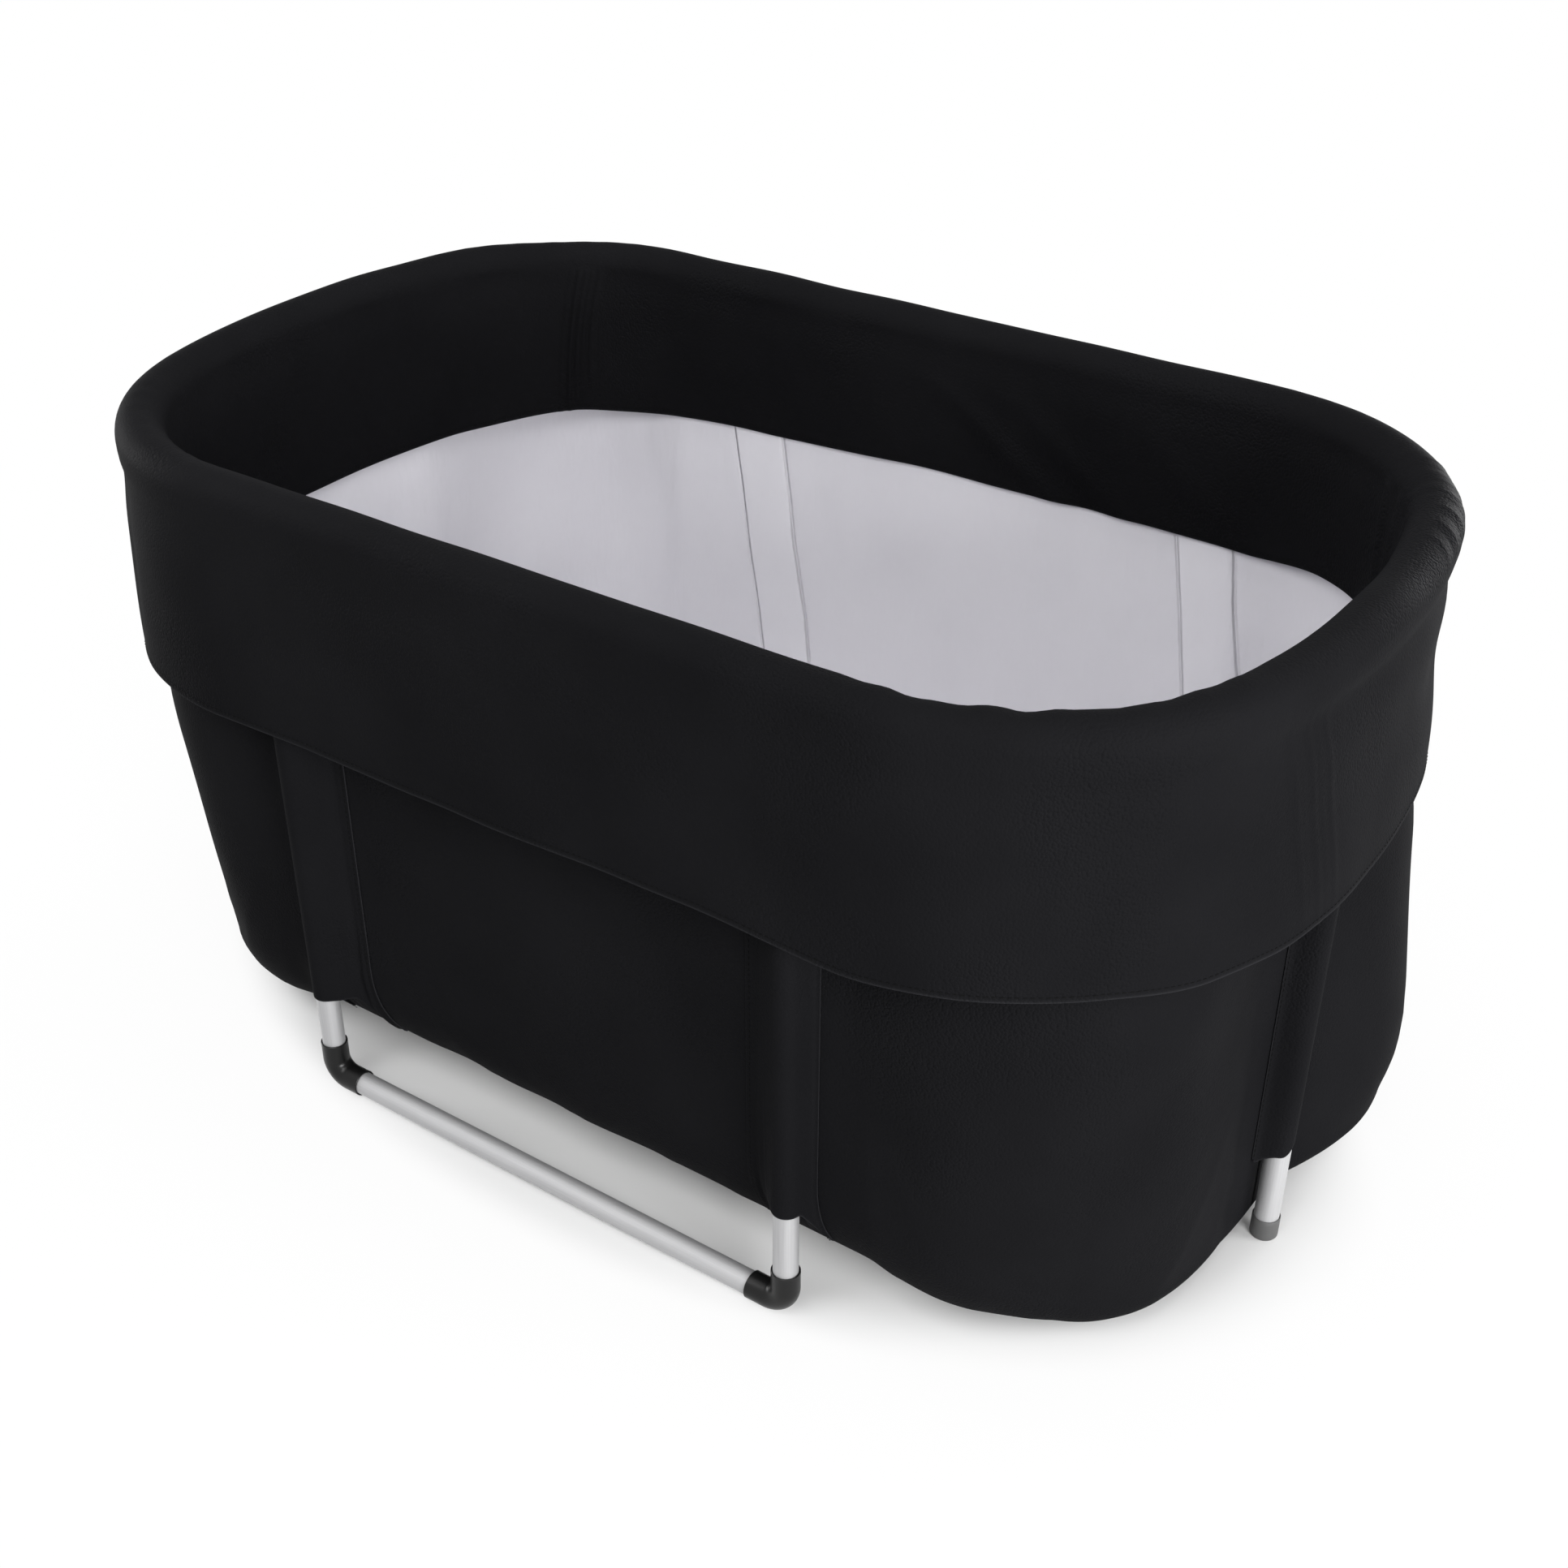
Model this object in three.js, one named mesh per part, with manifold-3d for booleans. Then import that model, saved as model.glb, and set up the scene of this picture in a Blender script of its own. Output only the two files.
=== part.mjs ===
// Oval ice bath tub: a padded hoop on six legs carries a fabric bag with a light liner.
// Lengths are millimetres, +Z is up, +X runs to the right end and -Y to the front.
// The origin is on the floor under the middle of the tub.
import * as THREE from 'three';
import * as BufferGeometryUtils from 'three/addons/utils/BufferGeometryUtils.js';
import Module from 'manifold-3d';

const wasm = await Module();
wasm.setup();

// The hoop: straight sides, a corner arc and a flatter end arc, all tangent
const hoop_half_length = 625;
const hoop_half_width = 369;
const hoop_height = 681;
const corner_radius = 250;
const end_radius = 800;
const side_leg_share = 0.48;

// Tubes and the clearances that push fits and sewn layers keep
const tube_radius = 12.5;
const tube_wall = 1.5;
const socket_clearance = 0.3;
const bent_socket_clearance = 0.55;
const layer_gap = 0.3;
const cut_overrun = 2;

// Three-way fittings on the hoop
const tee_wall = 1.9;
const tee_reach = 42;
const tee_leg_reach = 40;
const tee_stop_half = 3;
const leg_top_drop = 18;

// Bottom elbows, rails and rubber feet
const elbow_radius = 14.5;
const elbow_bend_radius = 20;
const elbow_leg_reach = 42;
const elbow_rail_reach = 40;
const elbow_stop_gap = 2;
const foot_radius = 14;
const foot_height = 25;
const foot_base = 4;
const foot_chamfer = 1.5;

// Padding and fabric cover of the hoop
const foam_bore_clearance = 0.5;
const foam_radius = 20;
const roll_radius = 25;
const cover_thickness = 1.5;
const band_lead_drop = 21;
const band_hem_drop = 151;
const collar_hem_drop = 229;

// Bag: outer fabric, insulation foam and liner, counted inwards from the outer face
const bag_pull_in = 17;
const bag_top_drop = 26;
const bag_bottom_height = 2;
const fabric_thickness = 1.6;
const foam_thickness = 4;
const liner_thickness = 1.4;
const side_bottom_radius = 164;
const end_bottom_radius = 28;

// Where the bag lobes out between two legs, and how fast its bottom edge tightens round a corner
const sleeve_zone = 62;
const drain_zone = 150;
const lobe_depth = 80;
const lobe_height_shares = [0.035, 0.085, 0.2, 0.31, 0.45, 0.58, 0.65, 1];
const lobe_shares = {
  front_left: [0, 0.04, 0.15, 0.26, 0.36, 0.46, 0.44, 0],
  front_right: [-0.22, -0.05, 0.1, 0.22, 0.34, 0.44, 0.44, 0],
  back_right: [0.85, 1, 1.06, 0.98, 0.82, 0.68, 0.48, 0],
  back_left: [0, 0.04, 0.15, 0.26, 0.36, 0.46, 0.44, 0],
};
const turn_powers = { front_left: 0.6, front_right: 0.7, back_right: 0.55, back_left: 0.6 };

// Leg sleeves sewn on the outside of the bag, those of the side legs wider towards the middle
const sleeve_clearance = 0.7;
const sleeve_thickness = 1.5;
const sleeve_wide_wing = 50;
const sleeve_narrow_wing = 20;
const sleeve_end_wing = 24;
const sleeve_mouth_height = 120;
const sleeve_top_gap = 5;

// Drain low on the left end
const drain_from_leg = 110;
const drain_height = 62;
const drain_pad_half = 24;
const drain_hole_overrun = 80;
const shank_radius = 12;
const shank_bore_radius = 9;
const shank_out = 18;
const flange_radius = 20;
const flange_thickness = 3;
const washer_radius = 18;
const washer_thickness = 2;
const nut_corner_radius = 19;
const nut_thickness = 8;
const cap_radius = 15.5;
const cap_end = 3;
const cap_nut_gap = 2.5;

// How finely round shapes are divided
const tube_sides = 12;
const bore_sides = 8;
const socket_sides = 12;
const roll_steps = 6;
const corner_steps = 6;
const bay_steps = 12;
const wall_rows = 5;
const turn_steps = 3;
const elbow_steps = 8;
const sleeve_steps = 8;
const nut_sides = 6;

// Finishes
const finish = (color, roughness, metalness) => ({ color, roughness, metalness });
const satin_aluminium = finish(0xc6c8cb, 0.35, 0.9);
const black_plastic = finish(0x141415, 0.45, 0);
const grey_rubber = finish(0x454547, 0.75, 0);
const black_fabric = finish(0x1b1b1d, 0.6, 0);
const grey_liner = finish(0xb8b6bc, 0.5, 0);
const white_foam = finish(0xdcdcdc, 0.9, 0);
const black_foam = finish(0x2a2a2c, 0.9, 0);

const tub = new THREE.Group();

function addPart(name, geometry, look, place = tub) {
  const mesh = new THREE.Mesh(geometry, new THREE.MeshStandardMaterial(look));
  mesh.name = name;
  place.add(mesh);
  return mesh;
}

// Plan of the hoop and heights under it, worked out from the driving sizes
const side_leg_x = side_leg_share * hoop_half_length;
const band_hem_height = hoop_height - band_hem_drop;
const collar_hem_height = hoop_height - collar_hem_drop;
const bag_top_height = hoop_height - bag_top_drop;
const end_centre_x = hoop_half_length - end_radius;
const corner_centre_y = hoop_half_width - corner_radius;
const centre_distance = end_radius - corner_radius;
const corner_centre_x = end_centre_x + Math.sqrt(centre_distance ** 2 - corner_centre_y ** 2);
const end_half_angle = Math.asin(corner_centre_y / centre_distance);
const corner_angle = Math.PI / 2 - end_half_angle;
const corner_length = corner_angle * corner_radius;
const quarter_length = corner_centre_x + corner_length + end_half_angle * end_radius;

// A point and outward direction on the front right quarter, at a distance from the front middle
function quarterPlace(distance) {
  if (distance <= corner_centre_x) {
    return { x: distance, y: -hoop_half_width, nx: 0, ny: -1 };
  }
  const round = distance - corner_centre_x;
  if (round <= corner_length) {
    const angle = -Math.PI / 2 + round / corner_radius;
    const nx = Math.cos(angle);
    const ny = Math.sin(angle);
    return { x: corner_centre_x + corner_radius * nx, y: -corner_centre_y + corner_radius * ny, nx, ny };
  }
  const angle = -end_half_angle + (round - corner_length) / end_radius;
  const nx = Math.cos(angle);
  const ny = Math.sin(angle);
  return { x: end_centre_x + end_radius * nx, y: end_radius * ny, nx, ny };
}

// The same on the whole hoop, counted anticlockwise from the front middle
function hoopPlace(distance) {
  const whole = 4 * quarter_length;
  const along = ((distance % whole) + whole) % whole;
  const quarter = Math.min(Math.floor(along / quarter_length), 3);
  const past = along - quarter * quarter_length;
  const place = quarterPlace(quarter % 2 === 0 ? past : quarter_length - past);
  const flip_x = quarter === 2 || quarter === 3 ? -1 : 1;
  const flip_y = quarter === 1 || quarter === 2 ? -1 : 1;
  return { x: place.x * flip_x, y: place.y * flip_y, nx: place.nx * flip_x, ny: place.ny * flip_y };
}

// A point carried outwards from the hoop line by an offset, at a height
function hoopPoint(distance, offset, height) {
  const place = hoopPlace(distance);
  return new THREE.Vector3(place.x + place.nx * offset, place.y + place.ny * offset, height);
}

class HoopPath extends THREE.Curve {
  constructor(from, to) {
    super();
    this.from = from;
    this.to = to;
  }

  getPoint(t) {
    return hoopPoint(this.from + (this.to - this.from) * t, 0, hoop_height);
  }
}

// Six legs stand under the hoop, and the bays lie between them
const leg_places = {
  front_left: -side_leg_x,
  front_right: side_leg_x,
  right_end: quarter_length,
  back_right: 2 * quarter_length - side_leg_x,
  back_left: 2 * quarter_length + side_leg_x,
  left_end: 3 * quarter_length,
};
const bays = {
  front: [leg_places.front_left, leg_places.front_right],
  front_right: [leg_places.front_right, leg_places.right_end],
  back_right: [leg_places.right_end, leg_places.back_right],
  back: [leg_places.back_right, leg_places.back_left],
  back_left: [leg_places.back_left, leg_places.left_end],
  front_left: [leg_places.left_end, leg_places.front_left + 4 * quarter_length],
};
const corner_bay_length = quarter_length - side_leg_x;

// Closed bodies from sections, and booleans
function volumeOf(positions, index) {
  let volume = 0;
  const corner = (i) => new THREE.Vector3(...positions.slice(3 * i, 3 * i + 3));
  for (let i = 0; i < index.length; i += 3) {
    volume += corner(index[i]).dot(corner(index[i + 1]).cross(corner(index[i + 2])));
  }
  return volume / 6;
}

function bodyFrom(positions, index) {
  const outward = volumeOf(positions, index) > 0 ? index : [...index].reverse();
  const geometry = new THREE.BufferGeometry();
  geometry.setAttribute('position', new THREE.Float32BufferAttribute(positions, 3));
  geometry.setIndex(outward);
  geometry.computeVertexNormals();
  return geometry;
}

// Neighbouring layers are split along like diagonals, so that their faces stay parallel
function addQuad(index, positions, [a, b, c, d]) {
  const height = (i) => positions[3 * i + 2];
  if (height(a) > height(c)) index.push(a, b, c, a, c, d);
  else index.push(a, b, d, b, c, d);
}

// Sections are closed loops of equal length; an open row of them is capped by its flat outlines
function loft(sections, outlines = null) {
  const count = sections[0].length;
  const positions = sections.flat().flatMap((point) => point.toArray());
  const index = [];
  const bands = outlines ? sections.length - 1 : sections.length;
  for (let i = 0; i < bands; i += 1) {
    const next = (i + 1) % sections.length;
    for (let j = 0; j < count; j += 1) {
      const k = (j + 1) % count;
      addQuad(index, positions, [i * count + j, i * count + k, next * count + k, next * count + j]);
    }
  }
  if (outlines) {
    const last = (sections.length - 1) * count;
    addCap(index, outlines[0], 0, true);
    addCap(index, outlines[1], last, false);
  }
  return bodyFrom(positions, index);
}

function addCap(index, outline, start, reversed) {
  const faces = THREE.ShapeUtils.triangulateShape(outline, []);
  const against = THREE.ShapeUtils.isClockWise(outline) !== reversed;
  for (const [a, b, c] of faces) {
    if (against) index.push(start + a, start + c, start + b);
    else index.push(start + a, start + b, start + c);
  }
}

function solid(geometry) {
  const bare = geometry.clone();
  bare.deleteAttribute('normal');
  bare.deleteAttribute('uv');
  const merged = BufferGeometryUtils.mergeVertices(bare);
  const mesh = new wasm.Mesh({
    numProp: 3,
    vertProperties: merged.attributes.position.array,
    triVerts: new Uint32Array(merged.index.array),
  });
  return new wasm.Manifold(mesh);
}

function geometryOf(body) {
  const mesh = body.getMesh();
  const geometry = new THREE.BufferGeometry();
  geometry.setAttribute('position', new THREE.Float32BufferAttribute(mesh.vertProperties, 3));
  geometry.setIndex(new THREE.Uint32BufferAttribute(mesh.triVerts, 1));
  geometry.computeVertexNormals();
  return geometry;
}

// A polygon whose flats clear a round piece of the given radius
const boreRadius = (radius, sides) => radius / Math.cos(Math.PI / sides);

function circlePoints(radius, sides) {
  const points = [];
  for (let i = 0; i < sides; i += 1) {
    const angle = (i / sides) * 2 * Math.PI;
    points.push(new THREE.Vector2(radius * Math.cos(angle), radius * Math.sin(angle)));
  }
  return points;
}

function ringShape(radius, sides, inner_radius = 0, inner_sides = sides) {
  const shape = new THREE.Shape(circlePoints(radius, sides));
  if (inner_radius > 0) shape.holes.push(new THREE.Path(circlePoints(inner_radius, inner_sides).reverse()));
  return shape;
}

// A straight bar or pipe standing on its lower end
function upright(shape, low, high) {
  const geometry = new THREE.ExtrudeGeometry(shape, { depth: high - low, bevelEnabled: false });
  return geometry.translate(0, 0, low);
}

function alongHoop(shape, from, to, steps) {
  const extrudePath = new HoopPath(from, to);
  return new THREE.ExtrudeGeometry(shape, { steps, extrudePath, bevelEnabled: false });
}

// Hoop tubes and their foam padding, one length in each bay
const tube_section = ringShape(tube_radius, tube_sides, tube_radius - tube_wall, bore_sides);
const foam_bore = boreRadius(tube_radius + foam_bore_clearance, bore_sides);
const foam_section = ringShape(foam_radius, tube_sides, foam_bore, bore_sides);
for (const [bay, [from, to]] of Object.entries(bays)) {
  const straight = bay === 'front' || bay === 'back';
  const tube_end = tee_stop_half + layer_gap;
  const tube = alongHoop(tube_section, from + tube_end, to - tube_end, straight ? 1 : bay_steps);
  addPart(`hoop_tube_${bay}`, tube, satin_aluminium);
  const foam_end = tube_end + (to - from - 2 * tube_end) / bay_steps;
  const foam_steps = straight ? 1 : bay_steps - 2;
  const foam = alongHoop(foam_section, from + foam_end, to - foam_end, foam_steps);
  addPart(`hoop_foam_${bay}`, foam, black_foam);
}

// Three-way fittings, with a stop in the middle and a socket down for the leg
const tee_bore = boreRadius(tube_radius + bent_socket_clearance, socket_sides);
const tee_radius = tee_bore + tee_wall;
const leg_top = hoop_height - leg_top_drop;
const tee_bottom = hoop_height - tee_leg_reach;
const tee_section = ringShape(tee_radius, socket_sides);
const tee_bore_section = ringShape(tee_bore, socket_sides);
for (const [leg, place] of Object.entries(leg_places)) {
  const foot = hoopPoint(place, 0, 0);
  const stem = upright(tee_section, tee_bottom, hoop_height).translate(foot.x, foot.y, 0);
  const leg_bore = upright(tee_bore_section, tee_bottom - cut_overrun, leg_top).translate(foot.x, foot.y, 0);
  const reach = tee_reach + cut_overrun;
  const right_bore = alongHoop(tee_bore_section, place + tee_stop_half, place + reach, 2);
  const left_bore = alongHoop(tee_bore_section, place - reach, place - tee_stop_half, 2);
  const run = alongHoop(tee_section, place - tee_reach, place + tee_reach, 4);
  const bores = solid(leg_bore).add(solid(right_bore)).add(solid(left_bore));
  const tee = geometryOf(solid(run).add(solid(stem)).subtract(bores));
  addPart(`tee_${leg}`, tee, black_plastic);
}

// Legs: the side ones stand in the elbows, the end ones in rubber feet
const rail_height = elbow_radius;
const elbow_seat = elbow_bend_radius + elbow_stop_gap;
const end_leg_bottom = foot_base + layer_gap;
for (const [leg, place] of Object.entries(leg_places)) {
  const foot = hoopPoint(place, 0, 0);
  const bottom = leg.endsWith('end') ? end_leg_bottom : rail_height + elbow_seat + layer_gap;
  const tube = upright(tube_section, bottom, leg_top - layer_gap);
  addPart(`leg_${leg}`, tube, satin_aluminium).position.set(foot.x, foot.y, 0);
}

const socket_bore = boreRadius(tube_radius + socket_clearance, socket_sides);

function footCapProfile() {
  return [
    new THREE.Vector2(0, 0),
    new THREE.Vector2(foot_radius - foot_chamfer, 0),
    new THREE.Vector2(foot_radius, foot_chamfer),
    new THREE.Vector2(foot_radius, foot_height),
    new THREE.Vector2(socket_bore, foot_height),
    new THREE.Vector2(socket_bore, foot_base),
    new THREE.Vector2(0, foot_base),
  ];
}
for (const leg of ['left_end', 'right_end']) {
  const foot = hoopPoint(leg_places[leg], 0, 0);
  const cap = new THREE.LatheGeometry(footCapProfile(), socket_sides).rotateX(Math.PI / 2);
  addPart(`foot_cap_${leg}`, cap, grey_rubber).position.set(foot.x, foot.y, 0);
}

// Elbow: from the leg socket's mouth, round the bend, to the rail socket's mouth
class ElbowPath extends THREE.Curve {
  getPoint(t) {
    const down = elbow_leg_reach - elbow_bend_radius;
    const arc = (Math.PI / 2) * elbow_bend_radius;
    const along = t * (down + arc + elbow_rail_reach - elbow_bend_radius);
    if (along <= down) return new THREE.Vector3(0, 0, elbow_leg_reach - along);
    if (along >= down + arc) return new THREE.Vector3(elbow_bend_radius + along - down - arc, 0, 0);
    const angle = (along - down) / elbow_bend_radius;
    const x = elbow_bend_radius * (1 - Math.cos(angle));
    const z = elbow_bend_radius * (1 - Math.sin(angle));
    return new THREE.Vector3(x, 0, z);
  }
}

function elbowGeometry() {
  const bore_section = ringShape(socket_bore, socket_sides);
  const outer_section = ringShape(elbow_radius, socket_sides);
  const extrude = { steps: elbow_steps, extrudePath: new ElbowPath(), bevelEnabled: false };
  const outer = new THREE.ExtrudeGeometry(outer_section, extrude);
  const leg_bore = upright(bore_section, elbow_seat, elbow_leg_reach + cut_overrun);
  const rail_bore = upright(bore_section, elbow_seat, elbow_rail_reach + cut_overrun).rotateY(Math.PI / 2);
  return geometryOf(solid(outer).subtract(solid(leg_bore)).subtract(solid(rail_bore)));
}

const rail_half = side_leg_x - elbow_seat - layer_gap;
for (const [side, y] of [['front', -hoop_half_width], ['back', hoop_half_width]]) {
  for (const [hand, x, turn] of [['left', -side_leg_x, 0], ['right', side_leg_x, Math.PI]]) {
    const elbow = addPart(`elbow_${side}_${hand}`, elbowGeometry(), black_plastic);
    elbow.position.set(x, y, rail_height);
    elbow.rotation.z = turn;
  }
  const rail = addPart(`base_rail_${side}`, upright(tube_section, -rail_half, rail_half), satin_aluminium);
  rail.rotation.y = Math.PI / 2;
  rail.position.set(0, y, rail_height);
}

// Places of sections round the whole hoop, mirrored from one quarter and joined by a few extra
function ringStations(quarter_extra, extra) {
  const quarter = [...quarter_extra, quarter_length];
  for (let i = 0; i <= corner_steps; i += 1) {
    quarter.push(corner_centre_x + (corner_length * i) / corner_steps);
  }
  const ring = new Set(extra);
  for (const distance of quarter) {
    ring.add(distance).add(2 * quarter_length - distance);
    ring.add(2 * quarter_length + distance).add(4 * quarter_length - distance);
  }
  return [...ring].sort((a, b) => a - b);
}

const drain_place = leg_places.left_end - drain_from_leg;
const drain_patch = [drain_place - drain_pad_half, drain_place + drain_pad_half];
const ring_stations = ringStations([side_leg_x, quarter_length - sleeve_zone], drain_patch);

// The cover wraps the roll and hangs down as an outer collar and an inner band
function coverOutline() {
  const outline = [new THREE.Vector2(roll_radius, collar_hem_height)];
  const inner_radius = roll_radius - cover_thickness;
  for (let i = 0; i <= roll_steps; i += 1) {
    const angle = (i / roll_steps) * Math.PI;
    const x = roll_radius * Math.cos(angle);
    outline.push(new THREE.Vector2(x, hoop_height + roll_radius * Math.sin(angle)));
  }
  outline.push(new THREE.Vector2(-roll_radius - cover_thickness, hoop_height - band_lead_drop));
  outline.push(new THREE.Vector2(-roll_radius - cover_thickness, band_hem_height));
  outline.push(new THREE.Vector2(-roll_radius, band_hem_height));
  outline.push(new THREE.Vector2(-roll_radius, hoop_height - band_lead_drop));
  for (let i = roll_steps; i >= 0; i -= 1) {
    const angle = (i / roll_steps) * Math.PI;
    const x = inner_radius * Math.cos(angle);
    outline.push(new THREE.Vector2(x, hoop_height + inner_radius * Math.sin(angle)));
  }
  outline.push(new THREE.Vector2(inner_radius, collar_hem_height));
  return outline;
}
const cover_sections = ring_stations.map((s) => coverOutline().map((p) => hoopPoint(s, p.x, p.y)));
addPart('rim_cover', loft(cover_sections), black_fabric);

// How far the bag's outer face stands outside its line at the legs
function bayAt(distance) {
  const whole = 4 * quarter_length;
  const along = distance <= leg_places.front_left + whole ? distance : distance - whole;
  const [bay, ends] = Object.entries(bays).find(([, [from, to]]) => along >= from && along <= to);
  return { bay, share: cornerShare(bay, ends, along) };
}

// The share of the way round a corner, 0 from the side leg's sleeve and 1 near the end leg
function cornerShare(bay, [from, to], along) {
  if (!(bay in lobe_shares)) return 0;
  const to_end = bay === 'front_right' || bay === 'back_left';
  const past_side_leg = to_end ? along - from : to - along;
  const end_zone = bay === 'back_left' ? drain_zone : sleeve_zone;
  const span = corner_bay_length - sleeve_zone - end_zone;
  return Math.min(Math.max((past_side_leg - sleeve_zone) / span, 0), 1);
}

function lobeAt(distance, height) {
  const { bay, share } = bayAt(distance);
  if (share === 0) return 0;
  const swell = Math.sin(Math.PI * share) * lobe_depth;
  const heights = lobe_height_shares.map((h) => h * bag_top_height);
  const depths = lobe_shares[bay];
  if (height <= heights[0]) return swell * depths[0];
  const i = heights.findIndex((h) => height <= h);
  const part = (height - heights[i - 1]) / (heights[i] - heights[i - 1]);
  return swell * (depths[i - 1] + part * (depths[i] - depths[i - 1]));
}

function bottomRadius(distance) {
  const { bay, share } = bayAt(distance);
  const ease = share === 0 ? 1 : (1 + Math.cos(Math.PI * share ** turn_powers[bay])) / 2;
  return end_bottom_radius + (side_bottom_radius - end_bottom_radius) * ease;
}

// Offsets and heights of a face of the bag at a depth, from its top to the edge of its floor
function bagFace(distance, depth) {
  const radius = bottomRadius(distance);
  const turn_height = bag_bottom_height + radius;
  const face = [];
  for (let i = 0; i <= wall_rows; i += 1) {
    const height = bag_top_height + ((turn_height - bag_top_height) * i) / wall_rows;
    face.push(new THREE.Vector2(lobeAt(distance, height) - bag_pull_in - depth, height));
  }
  const centre = lobeAt(distance, turn_height) - bag_pull_in - radius;
  for (let i = 1; i <= turn_steps; i += 1) {
    const angle = ((i / turn_steps) * Math.PI) / 2;
    const x = centre + (radius - depth) * Math.cos(angle);
    face.push(new THREE.Vector2(x, turn_height - (radius - depth) * Math.sin(angle)));
  }
  return face;
}

const facePoints = (distance, face) => face.map((p) => hoopPoint(distance, p.x, p.y));

function layerOutline(distance, outer_depth, inner_depth) {
  return [...bagFace(distance, outer_depth), ...bagFace(distance, inner_depth).reverse()];
}

// Depths of the layers
const foam_outer = fabric_thickness + layer_gap;
const foam_inner = foam_outer + foam_thickness;
const liner_outer = foam_inner + layer_gap;
const liner_inner = liner_outer + liner_thickness;

// The drain stands square on a flat patch of wall, and every layer has a hole for its shank
const drain = new THREE.Group();
const drain_spot = hoopPoint(drain_place - drain_pad_half, 0, drain_height)
  .lerp(hoopPoint(drain_place + drain_pad_half, 0, drain_height), 1 / 2);
const drain_turn = Math.atan2(hoopPlace(drain_place).ny, hoopPlace(drain_place).nx);
drain.position.copy(drain_spot);
drain.rotation.z = drain_turn;
tub.add(drain);
const flange_face = -bag_pull_in - liner_inner - layer_gap;
const hole_radius = boreRadius(shank_radius + layer_gap, socket_sides);

function drainPiece(shape, from, to) {
  return upright(shape, from, to).rotateY(Math.PI / 2);
}

function cutDrainHole(geometry) {
  const from = flange_face - drain_hole_overrun;
  const hole = drainPiece(ringShape(hole_radius, socket_sides), from, shank_out);
  hole.rotateZ(drain_turn).translate(drain_spot.x, drain_spot.y, drain_spot.z);
  return geometryOf(solid(geometry).subtract(solid(hole)));
}

// Outer fabric of the bag, one panel in each bay, meeting under the leg sleeves
for (const [bay, [from, to]] of Object.entries(bays)) {
  const start = from + layer_gap / 2;
  const stop = to - layer_gap / 2;
  const places = [start, ...ring_stations.filter((s) => s > start && s < stop), stop];
  const outlines = [start, stop].map((s) => layerOutline(s, 0, fabric_thickness));
  const sections = places.map((s) => facePoints(s, layerOutline(s, 0, fabric_thickness)));
  const panel = loft(sections, outlines);
  addPart(`wall_panel_${bay}`, bay === 'back_left' ? cutDrainHole(panel) : panel, black_fabric);
}

// Wall insulation and the pan-shaped liner inside it
const foam_sections = ring_stations.map((s) => facePoints(s, layerOutline(s, foam_outer, foam_inner)));
addPart('wall_insulation', cutDrainHole(loft(foam_sections)), white_foam);

const flatOutline = (ring) => ring.map((p) => new THREE.Vector2(p.x, p.y));

function linerGeometry() {
  const outer = ring_stations.map((s) => facePoints(s, bagFace(s, liner_outer)));
  const inner = ring_stations.map((s) => facePoints(s, bagFace(s, liner_inner)));
  const rows = outer[0].length;
  const rings = [];
  for (let i = rows - 1; i >= 0; i -= 1) rings.push(outer.map((face) => face[i]));
  for (let i = 0; i < rows; i += 1) rings.push(inner.map((face) => face[i]));
  return loft(rings, [flatOutline(rings[0]), flatOutline(rings[rings.length - 1])]);
}
addPart('liner', cutDrainHole(linerGeometry()), grey_liner);

// Floor of the bag: outer fabric and insulation, inside the turned edge of the walls
function floorPlate(low, high) {
  const edge = (s) => lobeAt(s, bag_bottom_height + bottomRadius(s)) - bag_pull_in - bottomRadius(s);
  const ring = (height) => ring_stations.map((s) => hoopPoint(s, edge(s) - layer_gap, height));
  const rings = [ring(low), ring(high)];
  return loft(rings, rings.map(flatOutline));
}
const floor_fabric_top = bag_bottom_height + fabric_thickness;
const floor_foam_low = floor_fabric_top + layer_gap;
addPart('floor_panel', floorPlate(bag_bottom_height, floor_fabric_top), black_fabric);
addPart('floor_insulation', floorPlate(floor_foam_low, floor_foam_low + foam_thickness), white_foam);

// Leg sleeves: a strip sewn flat on both sides of the leg and bowed over it
function bowPoints(radius, steps) {
  const points = [];
  for (let i = 0; i <= steps; i += 1) {
    const angle = (i / steps) * Math.PI;
    points.push(new THREE.Vector2(radius * Math.cos(angle), radius * Math.sin(angle)));
  }
  return points;
}

function sleeveShape(left_wing, right_wing) {
  const inner = tube_radius + sleeve_clearance;
  const outer = inner + sleeve_thickness;
  const sewn = -bag_pull_in + layer_gap;
  const skin = sewn + sleeve_thickness;
  const points = [new THREE.Vector2(left_wing, sewn), new THREE.Vector2(left_wing, skin)];
  points.push(new THREE.Vector2(outer, skin), ...bowPoints(outer, sleeve_steps));
  points.push(new THREE.Vector2(-outer, skin), new THREE.Vector2(-right_wing, skin));
  points.push(new THREE.Vector2(-right_wing, sewn), new THREE.Vector2(-inner, sewn));
  points.push(...bowPoints(inner, sleeve_steps).reverse(), new THREE.Vector2(inner, sewn));
  return new THREE.Shape(points);
}

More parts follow.
